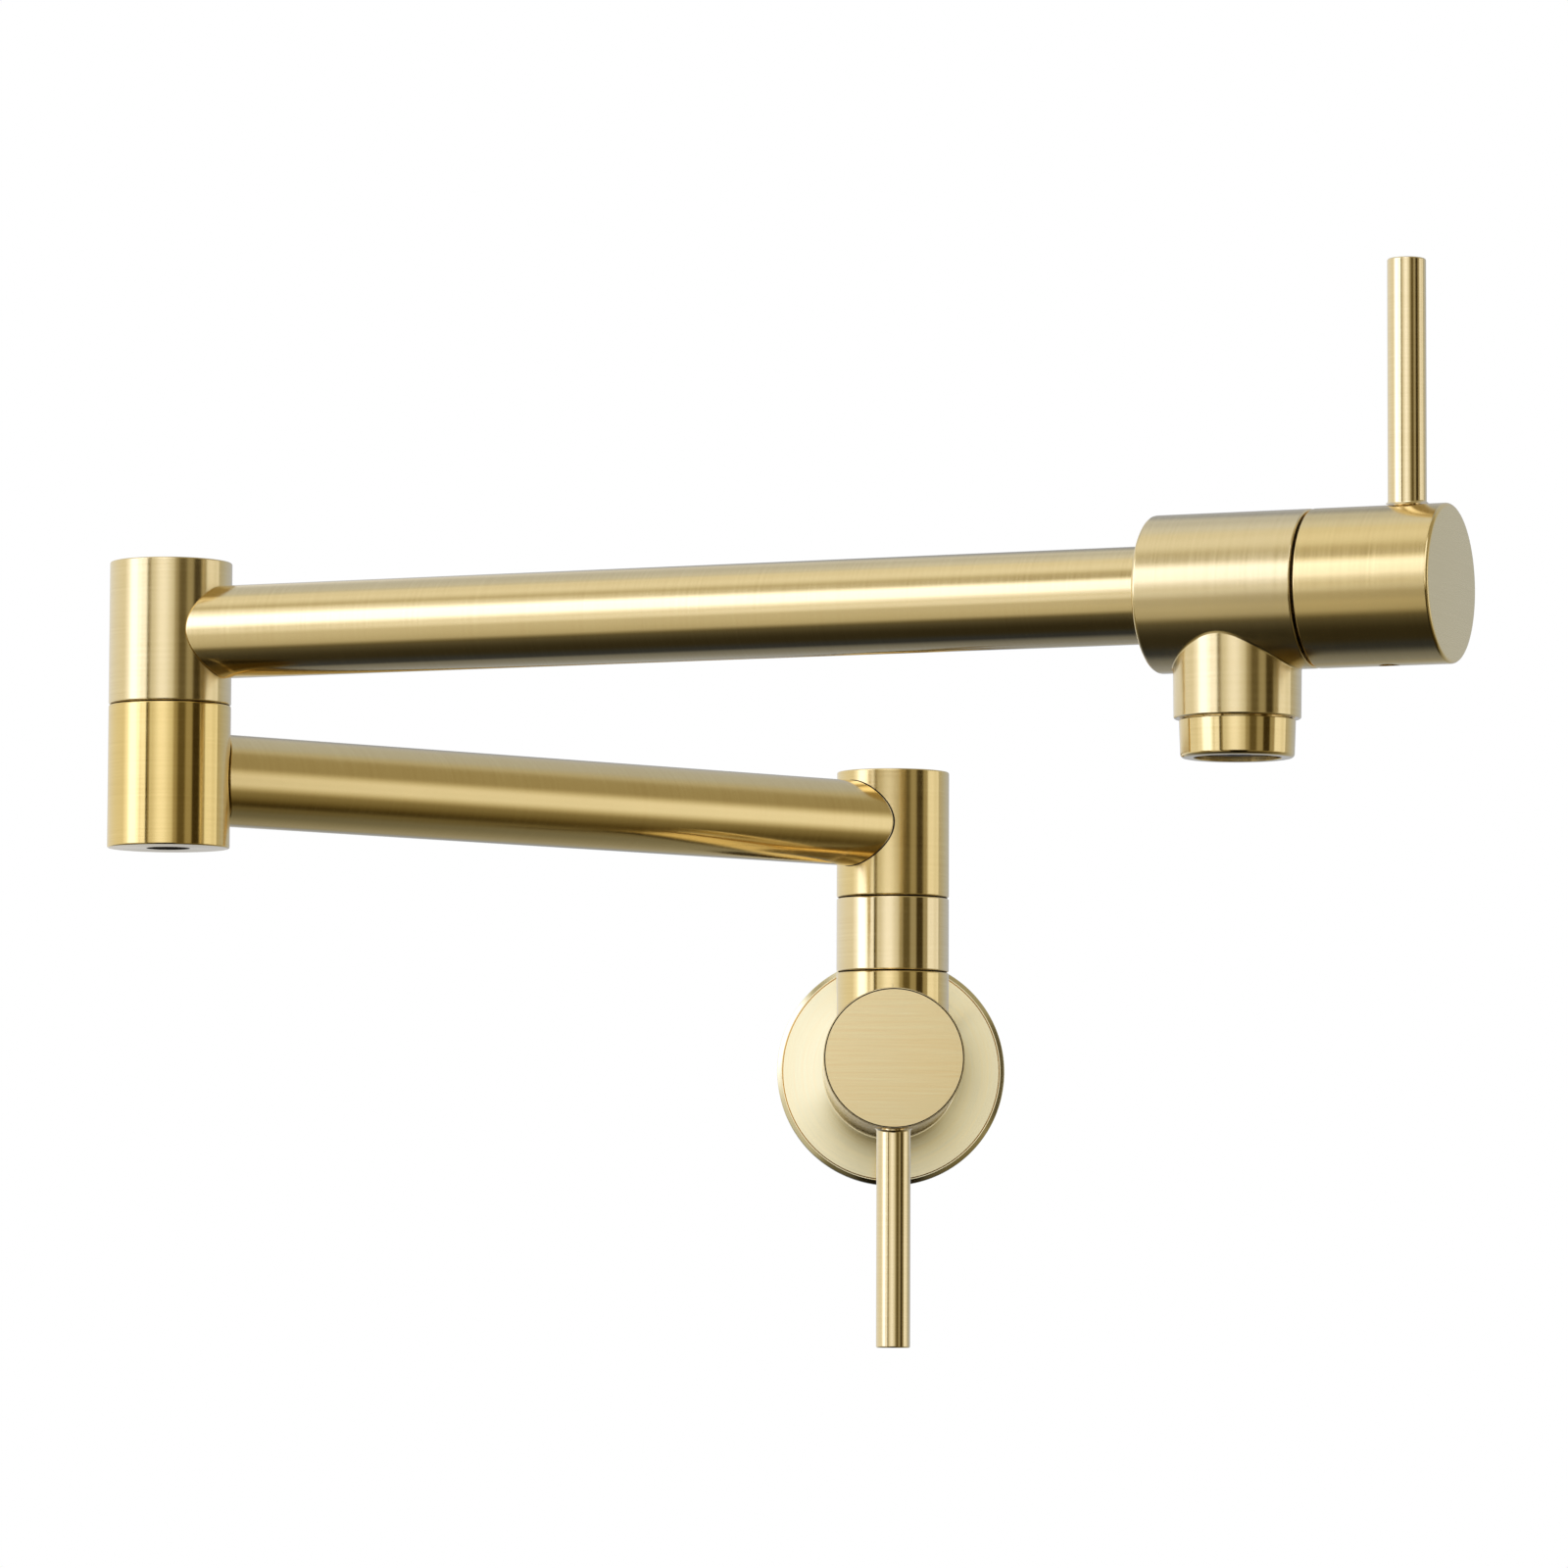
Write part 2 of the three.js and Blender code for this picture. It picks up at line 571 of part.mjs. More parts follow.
// Straight body from the wall to the handle, with the neck that carries the arm as its branch.
function wallValveBody() {
  const barrel = turned([
    [0, hubBack],
    [VALVE_RADIUS, hubBack],
    ...grooves(VALVE_RADIUS, flangeGroove, [flangeRingHeight]),
    [VALVE_RADIUS, bodyFront - EDGE],
    [VALVE_RADIUS - EDGE, bodyFront],
    [0, bodyFront],
  ], { sides: BODY_SIDES });
  const neck = turned([
    [0, 0],
    [KNUCKLE_RADIUS, 0],
    [KNUCKLE_RADIUS, neckTop - EDGE],
    [KNUCKLE_RADIUS - EDGE, neckTop],
    [neckStubRadius, neckTop],
    [neckStubRadius, neckStubTop],
    [0, neckStubTop],
  ], { sides: BODY_SIDES, place: onBranch });
  const inlet = rod(INLET_THREAD_RADIUS + SEAT_GAP, hubBack - THROUGH, inletFloor, { sides: BORE_SIDES });
  const postHole = rod(postBore, neckPostBottom - SEAT_GAP, neckStubTop + THROUGH, { place: onBranch });
  const waterway = rod(WATERWAY_RADIUS, 0, neckPostBottom, { place: onBranch });
  return barrel.add(neck)
    .subtract(headworkBore(inletFloor - THROUGH))
    .subtract(inlet)
    .subtract(postHole)
    .subtract(waterway);
}

// Body on the end of the outer tube, with the tapered spout as its branch.
function outletValveBody() {
  const barrel = rod(
    VALVE_RADIUS, -VALVE_BACK, bodyFront, { sides: BODY_SIDES, lowEdge: BACK_EDGE, highEdge: EDGE },
  );
  const spout = turned([
    [0, 0],
    [SPOUT_TOP_RADIUS, 0],
    [SPOUT_END_RADIUS, spoutEnd - EDGE],
    [SPOUT_END_RADIUS - EDGE, spoutEnd],
    [0, spoutEnd],
  ], { sides: BODY_SIDES, place: onBranch });
  const socket = rod(
    TUBE_RADIUS + SEAT_GAP, -VALVE_BACK - THROUGH, tubeSocketFloor, { sides: TUBE_SIDES },
  );
  const bore = rod(SPOUT_BORE_RADIUS, 0, spoutEnd, { place: onBranch });
  const thread = rod(
    AERATOR_THREAD_RADIUS + SEAT_GAP, gasketLow - SEAT_GAP, spoutEnd + THROUGH,
    { sides: TUBE_SIDES, place: onBranch },
  );
  return barrel.add(spout)
    .subtract(headworkBore(tubeSocketFloor - THROUGH))
    .subtract(socket)
    .subtract(bore)
    .subtract(thread);
}

function inletNipple() {
  const low = wallPlane - INLET_REACH;
  return turned([
    [INLET_BORE_RADIUS, low],
    [INLET_THREAD_RADIUS - EDGE, low],
    [INLET_THREAD_RADIUS, low + EDGE],
    [INLET_THREAD_RADIUS, nippleInner - EDGE],
    [INLET_THREAD_RADIUS - EDGE, nippleInner],
    [INLET_BORE_RADIUS, nippleInner],
  ], { sides: BORE_SIDES });
}

// ---------------------------------------------------------------- neck and arm joints

// Ring that a seam's two halves slip on: it sits in a recess of the lower half.
const slipRecess = (seam, gap) => seam + gap / 2 - SLIP_WASHER_THICKNESS - 2 * SEAT_GAP;

function slipWasher(low, outer = washerOuter) {
  return ring(washerInner, outer, low, low + SLIP_WASHER_THICKNESS);
}

// Union nut: its web holds the post's flange down on the neck.
function swivelNut() {
  const recess = slipRecess(nutSeam, SEAT_GAP);
  const outside = rod(
    KNUCKLE_RADIUS, nutBottom, nutTop, { sides: BODY_SIDES, lowEdge: EDGE, highEdge: EDGE },
  );
  const inside = turned([
    [0, nutBottom - THROUGH],
    [nutThread, nutBottom - THROUGH],
    [nutThread, nutWebBottom],
    [washerInner, nutWebBottom],
    [washerInner, recess],
    [washerOuter + SEAT_GAP, recess],
    [washerOuter + SEAT_GAP, nutTop + THROUGH],
    [0, nutTop + THROUGH],
  ], { sides: BORE_SIDES });
  return outside.subtract(inside);
}

const neckRingHeights = [1, 2].map(
  (step) => neckPostBottom + (step * (postFlangeBottom - neckPostBottom)) / 3,
);

// Hollow post: screwed into the wall knuckle, held by its flange, sealed in the neck.
function wallSwivelPost() {
  return turned([
    [postInside, neckPostBottom],
    [POST_RADIUS - EDGE, neckPostBottom],
    [POST_RADIUS, neckPostBottom + EDGE],
    ...grooves(POST_RADIUS, ringGroove, neckRingHeights),
    [POST_RADIUS, postFlangeBottom],
    [postFlangeRadius, postFlangeBottom],
    [postFlangeRadius, postFlangeTop],
    [POST_RADIUS, postFlangeTop],
    [POST_RADIUS, neckPostTop],
    [postInside, neckPostTop],
  ], { sides: SHAFT_SIDES });
}

// End block of an arm: a turned barrel with a side spigot over which the tube is pushed.
function knuckle(bottom, top, tubeHeight, direction) {
  const place = pointed(direction, tubeHeight);
  const barrel = rod(KNUCKLE_RADIUS, bottom, top, { sides: BODY_SIDES, lowEdge: EDGE, highEdge: EDGE });
  const reach = KNUCKLE_RADIUS + SPIGOT_LENGTH;
  const spigot = rod(spigotRadius, 0, reach, { highEdge: EDGE, place });
  const waterway = rod(tubeWaterway, 0, reach + THROUGH, { place });
  return barrel.add(spigot).subtract(waterway);
}

// Threaded socket for a post in the underside of a knuckle, with the chamber above it.
function postSocket(bottom, tubeHeight) {
  const socketTop = bottom + POST_GRIP + SEAT_GAP;
  return rod(postBore, bottom - THROUGH, socketTop)
    .add(rod(POST_RADIUS - CHAMBER_STEP, bottom, tubeHeight + tubeWaterway));
}

function wallKnuckle() {
  return knuckle(wallKnuckleBottom, wallKnuckleTop, INNER_TUBE_HEIGHT, ALONG_X)
    .subtract(postSocket(wallKnuckleBottom, INNER_TUBE_HEIGHT));
}

function elbowLowerKnuckle() {
  const recess = slipRecess(elbowSeam, ELBOW_GAP);
  return knuckle(elbowBottom, lowerKnuckleTop, INNER_TUBE_HEIGHT, BACK_ALONG_X)
    .subtract(rod(postBore, elbowPostBottom - SEAT_GAP, lowerKnuckleTop + THROUGH))
    .subtract(rod(washerOuter + SEAT_GAP, recess, lowerKnuckleTop + THROUGH))
    .subtract(rod(SCREW_RADIUS + SEAT_GAP, elbowBottom, elbowPostBottom))
    .subtract(rod(SCREW_RECESS_RADIUS, elbowBottom - THROUGH, screwCeiling));
}

function elbowUpperKnuckle() {
  return knuckle(upperKnuckleBottom, upperKnuckleTop, outerTubeHeight, ALONG_X)
    .subtract(postSocket(upperKnuckleBottom, outerTubeHeight));
}

const elbowRingHeights = [
  (elbowPostBottom + waistLow) / 2,
  ...[1, 2].map((step) => waistHigh + (step * (slipRecess(elbowSeam, ELBOW_GAP) - waistHigh)) / 3),
];

// Hollow post: screwed into the upper knuckle and ported where it crosses the lower one.
function elbowSwivelPost() {
  const [lowRing, ...highRings] = elbowRingHeights;
  const waistRadius = POST_RADIUS - WAIST_DEPTH;
  const post = turned([
    [0, elbowPostBottom],
    [POST_RADIUS - EDGE, elbowPostBottom],
    [POST_RADIUS, elbowPostBottom + EDGE],
    ...grooves(POST_RADIUS, ringGroove, [lowRing]),
    [POST_RADIUS, waistLow],
    [waistRadius, waistLow],
    [waistRadius, waistHigh],
    [POST_RADIUS, waistHigh],
    ...grooves(POST_RADIUS, ringGroove, highRings),
    [POST_RADIUS, elbowPostTop],
    [0, elbowPostTop],
  ], { sides: SHAFT_SIDES });
  const bore = rod(postInside, screwHoleTop + THROUGH, elbowPostTop + THROUGH, { sides: SHAFT_SIDES });
  const screwHole = rod(
    SCREW_RADIUS + SEAT_GAP, elbowPostBottom - THROUGH, screwHoleTop, { sides: SHAFT_SIDES },
  );
  const ports = [ALONG_X, ALONG_Y].map((direction) => rod(
    POST_PORT_RADIUS, -postBore, postBore,
    { sides: ROUND_SIDES, place: pointed(direction, INNER_TUBE_HEIGHT) },
  ));
  return [bore, screwHole, ...ports].reduce((cut, tool) => cut.subtract(tool), post);
}

const screwWasherLow = screwCeiling - SEAT_GAP - SCREW_WASHER_THICKNESS;
const screwHeadHigh = screwWasherLow - SEAT_GAP;

function retainingScrew() {
  const headLow = screwHeadHigh - SCREW_HEAD_HEIGHT;
  const crown = SCREW_HEAD_HEIGHT - EDGE;
  const dome = [0, 1, 2].map((step) => {
    const angle = (step * Math.PI) / 6;
    return [
      SCREW_SOCKET_RADIUS + EDGE + (SCREW_HEAD_RADIUS - SCREW_SOCKET_RADIUS - EDGE) * Math.sin(angle),
      headLow + crown * (1 - Math.cos(angle)),
    ];
  });
  const screw = turned([
    [0, headLow],
    ...dome,
    [SCREW_HEAD_RADIUS, screwHeadHigh - EDGE],
    [SCREW_HEAD_RADIUS, screwHeadHigh],
    [SCREW_RADIUS, screwHeadHigh],
    [SCREW_RADIUS, elbowPostBottom + SCREW_GRIP],
    [0, elbowPostBottom + SCREW_GRIP],
  ]);
  return screw.subtract(hexPrism(SCREW_SOCKET_RADIUS, headLow - THROUGH, headLow + SCREW_SOCKET_DEPTH));
}

function screwWasher() {
  return ring(
    SCREW_RADIUS + SEAT_GAP, SCREW_RECESS_RADIUS - SEAT_GAP,
    screwWasherLow, screwWasherLow + SCREW_WASHER_THICKNESS,
  );
}

// Tube along +X. A coped end fits round the knuckle whose axis is at that distance.
function armTube(height, from, to, knuckles) {
  const place = pointed(ALONG_X, height);
  const tube = ring(tubeInside, TUBE_RADIUS, from, to, { sides: TUBE_SIDES, place });
  return knuckles.reduce((cut, distance) => {
    const cope = rod(
      KNUCKLE_RADIUS + SEAT_GAP, height - KNUCKLE_RADIUS, height + KNUCKLE_RADIUS,
      { sides: BODY_SIDES, place: new THREE.Matrix4().makeTranslation(distance, 0, 0) },
    );
    return cut.subtract(cope);
  }, tube);
}

// ---------------------------------------------------------------- aerator

function aeratorHousing() {
  const skirt = AERATOR_RADIUS - AERATOR_TAPER;
  const round = arc(AERATOR_BOTTOM_ROUND, 0, Math.PI / 2, ROUND_SIDES)
    .map(({ x, y }) => [skirt - AERATOR_BOTTOM_ROUND + x, aeratorBottom - AERATOR_BOTTOM_ROUND + y]);
  return turned([
    [aeratorInside, aeratorTop],
    [AERATOR_THREAD_RADIUS - EDGE, aeratorTop],
    [AERATOR_THREAD_RADIUS, aeratorTop + EDGE],
    [AERATOR_THREAD_RADIUS, aeratorShoulder],
    [AERATOR_RADIUS, aeratorShoulder],
    ...round,
    [aeratorInside - AERATOR_LIP, aeratorBottom],
    [aeratorInside - AERATOR_LIP, aeratorBottom - AERATOR_LIP],
    [aeratorInside, aeratorBottom - AERATOR_LIP],
  ], { sides: TUBE_SIDES, place: onBranch });
}

function aeratorGasket() {
  return ring(
    SPOUT_BORE_RADIUS + SEAT_GAP, AERATOR_THREAD_RADIUS, gasketLow, gasketLow + AERATOR_GASKET_THICKNESS,
    { place: onBranch },
  );
}

function aeratorDiffuser() {
  const shape = new THREE.Shape(polygon(insertRadius));
  for (const centre of polygon(insertRadius / 2, DIFFUSER_HOLES)) {
    shape.holes.push(new THREE.Path(polygon(DIFFUSER_HOLE_RADIUS, ROUND_SIDES, [...centre])));
  }
  return extruded(shape, aeratorTop, diffuserHigh, onBranch);
}

// Centres of a honeycomb whose cells stay inside a circle.
function honeycomb(pitch, limit) {
  const rows = Math.ceil(limit / pitch) + 1;
  const centres = [];
  for (let row = -rows; row <= rows; row += 1) {
    for (let column = -2 * rows; column <= 2 * rows; column += 1) {
      const x = pitch * (column + row / 2);
      const y = (pitch * row * Math.sqrt(3)) / 2;
      if (Math.hypot(x, y) <= limit) centres.push([x, y]);
    }
  }
  return centres;
}

// Cup whose floor is a honeycomb grille that straightens the stream.
function aeratorInsert() {
  const inside = insertRadius - GRILLE_SKIRT;
  const pitch = Math.sqrt(3) * GRILLE_CELL_RADIUS + GRILLE_RIB;
  const shape = new THREE.Shape(polygon(insertRadius));
  for (const centre of honeycomb(pitch, inside - GRILLE_CELL_RADIUS - GRILLE_RIB)) {
    shape.holes.push(new THREE.Path(polygon(GRILLE_CELL_RADIUS, 6, centre, Math.PI / 6)));
  }
  const grille = extruded(shape, insertHigh - GRILLE_THICKNESS, insertHigh, onBranch);
  const middle = insertHigh - GRILLE_THICKNESS / 2;
  const skirt = ring(inside, insertRadius, insertLow, middle, { place: onBranch });
  return grille.add(skirt);
}

// ---------------------------------------------------------------- assembly

function headworkPieces(prefix) {
  const sealHigh = sealLow + SEAL_THICKNESS;
  return [
    piece(`${prefix}_headwork`, headworkHousing(), 'plainBrass'),
    piece(`${prefix}_fixed_disc`, fixedDisc(), 'ceramic'),
    piece(`${prefix}_seat_seal`, ring(WATERWAY_RADIUS, discRadius, sealLow, sealHigh), 'rubber'),
    piece(`${prefix}_moving_disc`, movingDisc(), 'ceramic'),
    piece(`${prefix}_stem`, valveStem(), 'plainBrass'),
    piece(`${prefix}_stem_o_ring`, rubberRing(stemGroove, stemBore, stemRingHeight), 'rubber'),
    piece(`${prefix}_stem_clip`, stemClip(), 'steel'),
    piece(`${prefix}_handle_cap`, handleCap(), 'satinGold'),
    piece(`${prefix}_lever`, lever(), 'satinGold'),
    piece(`${prefix}_grub_screw`, grubScrew(), 'steel'),
  ];
}

// Turns a group's own axes to the given directions.
function aligned(group, xAxis, zAxis) {
  const yAxis = new THREE.Vector3().crossVectors(zAxis, xAxis);
  group.quaternion.setFromRotationMatrix(new THREE.Matrix4().makeBasis(xAxis, yAxis, zAxis));
  return group;
}

function wallValve() {
  const down = UP.clone().negate();
  const outOfWall = ALONG_Y.clone().negate();
  const group = aligned(new THREE.Group(), down, outOfWall);
  group.add(
    piece('wall_flange', wallFlange(), 'satinGold'),
    piece('flange_gasket', flangeGasket(), 'foam'),
    piece('flange_o_ring', rubberRing(flangeGroove, hubBore, flangeRingHeight, BORE_SIDES), 'rubber'),
    piece('wall_valve_body', wallValveBody(), 'satinGold'),
    piece('inlet_nipple', inletNipple(), 'plainBrass'),
    piece('inlet_washer', ring(
      INLET_BORE_RADIUS, INLET_THREAD_RADIUS, nippleInner + SEAT_GAP, inletFloor - SEAT_GAP,
    ), 'rubber'),
    ...headworkPieces('wall'),
  );
  return group;
}

function neckPieces() {
  return [
    piece('swivel_nut', swivelNut(), 'satinGold'),
    piece('wall_thrust_washer', slipWasher(slipRecess(nutSeam, SEAT_GAP) + SEAT_GAP), 'slipPlastic'),
  ];
}

function innerArm() {
  const group = new THREE.Group();
  group.rotation.z = -Math.PI / 2 - INNER_ARM_SWING;
  const tubeFrom = KNUCKLE_RADIUS / 2;
  const lowerKnuckle = piece('elbow_lower_knuckle', elbowLowerKnuckle(), 'satinGold');
  const elbowWasher = piece(
    'elbow_slip_washer', slipWasher(slipRecess(elbowSeam, ELBOW_GAP) + SEAT_GAP), 'slipPlastic',
  );
  lowerKnuckle.position.x = INNER_ARM_LENGTH;
  elbowWasher.position.x = INNER_ARM_LENGTH;
  group.add(
    piece('wall_knuckle', wallKnuckle(), 'satinGold'),
    piece('wall_swivel_post', wallSwivelPost(), 'plainBrass'),
    ...neckRingHeights.map((height, i) => piece(
      `wall_post_o_ring_${i + 1}`, rubberRing(ringGroove, postBore, height), 'rubber',
    )),
    piece('wall_slip_washer', slipWasher(postFlangeTop + SEAT_GAP, postFlangeRadius), 'slipPlastic'),
    piece('inner_tube', armTube(
      INNER_TUBE_HEIGHT, tubeFrom, INNER_ARM_LENGTH - tubeFrom, [0, INNER_ARM_LENGTH],
    ), 'satinGold'),
    lowerKnuckle,
    elbowWasher,
  );
  return group;
}

function outerArm() {
  const group = new THREE.Group();
  group.position.x = INNER_ARM_LENGTH;
  group.rotation.z = INNER_ARM_SWING + OUTER_ARM_SWING;
  const tubeEnd = OUTER_ARM_LENGTH - VALVE_BACK + TUBE_SOCKET_DEPTH;
  group.add(
    piece('elbow_upper_knuckle', elbowUpperKnuckle(), 'satinGold'),
    piece('elbow_swivel_post', elbowSwivelPost(), 'plainBrass'),
    ...elbowRingHeights.map((height, i) => piece(
      `elbow_post_o_ring_${i + 1}`, rubberRing(ringGroove, postBore, height), 'rubber',
    )),
    piece('elbow_retaining_screw', retainingScrew(), 'steel'),
    piece('elbow_screw_washer', screwWasher(), 'steel'),
    piece('outer_tube', armTube(outerTubeHeight, KNUCKLE_RADIUS / 2, tubeEnd, [0]), 'satinGold'),
  );
  return group;
}

function outletValve() {
  const group = aligned(new THREE.Group(), UP, ALONG_X);
  group.position.set(OUTER_ARM_LENGTH, 0, outerTubeHeight);
  group.add(
    piece('outlet_valve_body', outletValveBody(), 'satinGold'),
    ...headworkPieces('outlet'),
    piece('aerator_gasket', aeratorGasket(), 'rubber'),
    piece('aerator_diffuser', aeratorDiffuser(), 'greyPlastic'),
    piece('aerator_housing', aeratorHousing(), 'satinGold'),
    piece('aerator_insert', aeratorInsert(), 'greyPlastic'),
  );
  return group;
}

function potFiller() {
  const whole = new THREE.Group();
  const neck = new THREE.Group();
  neck.position.y = -VALVE_REACH;
  const inner = innerArm();
  const outer = outerArm();
  outer.add(outletValve());
  inner.add(outer);
  neck.add(wallValve(), ...neckPieces(), inner);
  whole.add(neck);
  return whole;
}

export default potFiller();
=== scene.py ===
"""Looks of the wall mounted pot filler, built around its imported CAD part.

Sizes are millimetres and carry the names that they have in the CAD source. A mesh is scaled to
metres when it is placed. Turned pieces are drawn about +Z of their own frame. A valve's +Z runs
towards its handle and its +X along its lever, so its branch leaves along -X.
"""

from math import ceil, cos, exp, hypot, pi, radians, sin, sqrt, tan

import bpy
import numpy as np
from mathutils import Matrix, Vector


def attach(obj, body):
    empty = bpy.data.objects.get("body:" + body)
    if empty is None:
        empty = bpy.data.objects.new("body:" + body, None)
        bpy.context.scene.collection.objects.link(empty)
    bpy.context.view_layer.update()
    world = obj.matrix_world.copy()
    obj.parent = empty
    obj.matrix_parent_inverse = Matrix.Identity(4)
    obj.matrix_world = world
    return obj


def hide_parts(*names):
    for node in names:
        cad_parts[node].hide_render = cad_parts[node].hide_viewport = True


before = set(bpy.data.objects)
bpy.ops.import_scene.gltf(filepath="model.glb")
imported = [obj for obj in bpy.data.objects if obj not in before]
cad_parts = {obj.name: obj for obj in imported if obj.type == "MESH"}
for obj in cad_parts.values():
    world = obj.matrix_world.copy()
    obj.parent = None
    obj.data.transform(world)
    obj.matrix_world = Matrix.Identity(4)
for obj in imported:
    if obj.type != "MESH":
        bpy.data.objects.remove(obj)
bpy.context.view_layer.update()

MM = 0.001

# ---- sizes of the CAD part

SEAT_GAP = 0.3
CAP_GAP = 0.7
ELBOW_GAP = 0.2  # shows finer than the running gap of the CAD part
EDGE = 0.4
BACK_EDGE = 1.0

FLANGE_RADIUS = 30
FLANGE_DEPTH = 7
FLANGE_WALL = 1.8
FLANGE_BEVEL = 1.1
FLANGE_HUB_WALL = 2.1
FLANGE_HUB_BACKSET = 1.5

INLET_THREAD_RADIUS = 10.45
INLET_BORE_RADIUS = 7.2
INLET_ENGAGEMENT = 15
INLET_REACH = 22
INLET_WASHER_THICKNESS = 1.5

VALVE_RADIUS = 17.75
VALVE_REACH = 48
VALVE_FRONT = 18.5
VALVE_BACK = 19
CAP_LENGTH = 31.5
CAP_WALL = 3.5
CAP_NOSE = 19
LEVER_RADIUS = 4.3
LEVER_LENGTH = 54.8
LEVER_SETBACK = 10.3
LEVER_TENON_RADIUS = 3
LEVER_TENON_LENGTH = 7
GRUB_SETBACK = 14.5
GRUB_RADIUS = 2
GRUB_LENGTH = 8
GRUB_SOCKET_RADIUS = 1.15
GRUB_SOCKET_DEPTH = 3

HEADWORK_THREAD_RADIUS = 10.3
HEADWORK_THREAD_LENGTH = 10
HEADWORK_NOSE_RADIUS = 8.8
SEAT_DEPTH = 9.5
WATERWAY_RADIUS = 5.2
SPLINE_RADIUS = 3.9
SPLINE_LENGTH = 8

KNUCKLE_RADIUS = 14.5
NECK_HEIGHT = 24
NECK_STUB_LENGTH = 9
NUT_HEIGHT = 19.2
NUT_WALL = 2.4
WALL_KNUCKLE_HEIGHT = 32.6

INNER_TUBE_HEIGHT = 62
KNUCKLE_HEIGHT = 34
TUBE_RADIUS = 11
TUBE_WALL = 1.4
SPIGOT_WALL = 1.3
SPIGOT_LENGTH = 7
INNER_ARM_LENGTH = 230
OUTER_ARM_LENGTH = 268
TUBE_SOCKET_DEPTH = 6
INNER_ARM_SWING = radians(48.85)
OUTER_ARM_SWING = radians(67.4)

POST_RADIUS = 7.9
POST_GRIP = 7.5
POST_FLANGE_THICKNESS = 2.5
NECK_POST_DEPTH = 20
CHAMBER_STEP = 1.2
RING_GROOVE_DEPTH = 2
RING_GROOVE_WIDTH = 2.2
SLIP_WASHER_THICKNESS = 1.2
SLIP_WASHER_WIDTH = 3

SCREW_RADIUS = 2.5
SCREW_HEAD_RADIUS = 4.6
SCREW_HEAD_HEIGHT = 2.4
SCREW_SOCKET_RADIUS = 1.75
SCREW_SOCKET_DEPTH = 1.5
SCREW_WASHER_THICKNESS = 0.9
SCREW_GRIP = 3.5
SCREW_RECESS_RADIUS = 5.2
SCREW_RECESS_DEPTH = 4.5
ELBOW_WEB = 2.5

SPOUT_TOP_RADIUS = 14.5
SPOUT_END_RADIUS = 14.2
SPOUT_LENGTH = 28.6
SPOUT_BORE_RADIUS = 8
AERATOR_THREAD_RADIUS = 12
AERATOR_THREAD_LENGTH = 7.5
AERATOR_RADIUS = 13
AERATOR_TAPER = 0.3
AERATOR_HEIGHT = 8.6
AERATOR_BOTTOM_ROUND = 0.9
AERATOR_WALL = 1.3
AERATOR_LIP = 0.9
AERATOR_GASKET_THICKNESS = 0.9
DIFFUSER_THICKNESS = 2.2
DIFFUSER_HOLES = 6
DIFFUSER_HOLE_RADIUS = 1.2
GRILLE_THICKNESS = 2.6
GRILLE_SKIRT = 1.1
GRILLE_CELL_RADIUS = 1.4
GRILLE_RIB = 0.6

# Detail that only the looks have
FINE_ROUND = 0.15  # edges of the flange's rim and of the wall cap's face
TRIM_ROUND = 0.2  # edges of the flange's hub and of the aerator
BEVEL_ROUND = 0.3  # outer edge of the flange's bevel
GRUB_ROUND = 0.3
SADDLE_FLARE = 0.45  # fine fillet where a branch or lever meets a barrel
SADDLE_SINK = 0.03  # and how far it reaches into both
LEVER_FOOT_EDGE = 0.12  # upright edge below a lever's fillet
COPE_ROUND = 0.5  # rounded outer edge of a tube's coped end
COPE_GAP = 0.1  # between that end and its knuckle
# The groove round a tube's end at the wall's knuckle is painted dark as the shade of the joint.
COPE_LINE = 0.3  # width and depth of the fine groove round that end
CAP_CROWN = 0.12  # how far a cap's face rises from its rim to its centre
CAP_LINE = 0.28  # width and depth of the fine lines on wall cap and flange
CAP_LINE_INSET = 0.35  # from the cap's rim to the middle of its line
CAP_ROUND = 0.75  # rounded rim of the outlet cap's face
FLANGE_FALL = 0.9  # how far the flange's face falls back towards its rim
FLANGE_FLARE = 7.0  # and over what distance most of it happens
FLANGE_LINE = 0.5  # from the rim's bevel to the far side of the line
FLANGE_LIP_GAP = 0.04  # between the barrel and the flange's lip
FLANGE_LIP_SETBACK = 0.6  # how far that lip lies behind the face
NIPPLE_CHAMFER = 0.5
THREAD_PITCH = 1.81
THREAD_DEPTH = 0.85
THREAD_LEAD = 0.7  # how much narrower the thread's ends are

SIDES = 192  # round a full circle
SMALL_SIDES = 96  # round levers, spigots, screws and inside the aerator
HOLE_SIDES = 64
GRUB_SIDES = 48
DIFFUSER_HOLE_SIDES = 32
ROUND_STEPS = 4  # along a rounded corner
FLARE_STEPS = 6  # along a fillet
CROWN_STEPS = 7  # from a cap's rim to its centre
CROWN_START = 0.95  # part of its radius
FALL_STEPS = 16  # along the flange's face
THREAD_STEPS = 8  # along one turn
THROUGH = 1  # a cut runs this far past the face that it opens
NEAR = 0.01  # a face this near to a height lies on it
LEVEL = 0.99  # least part along the axis of a level face's normal

# ---- derived places

wall_plane = -VALVE_REACH
flange_front = wall_plane + FLANGE_DEPTH
hub_back = wall_plane + FLANGE_HUB_BACKSET
hub_bore = VALVE_RADIUS + SEAT_GAP
flange_ring_height = (hub_back + flange_front) / 2
nipple_inner = wall_plane + INLET_ENGAGEMENT
inlet_floor = nipple_inner + INLET_WASHER_THICKNESS + 2 * SEAT_GAP
body_front = VALVE_FRONT - CAP_GAP / 2
cap_back = VALVE_FRONT + CAP_GAP / 2
cap_front = VALVE_FRONT + CAP_LENGTH
cap_rim = cap_front - CAP_CROWN
cap_floor = cap_front - CAP_NOSE
cap_bore = VALVE_RADIUS - CAP_WALL
lever_height = cap_front - LEVER_SETBACK
grub_height = cap_front - GRUB_SETBACK
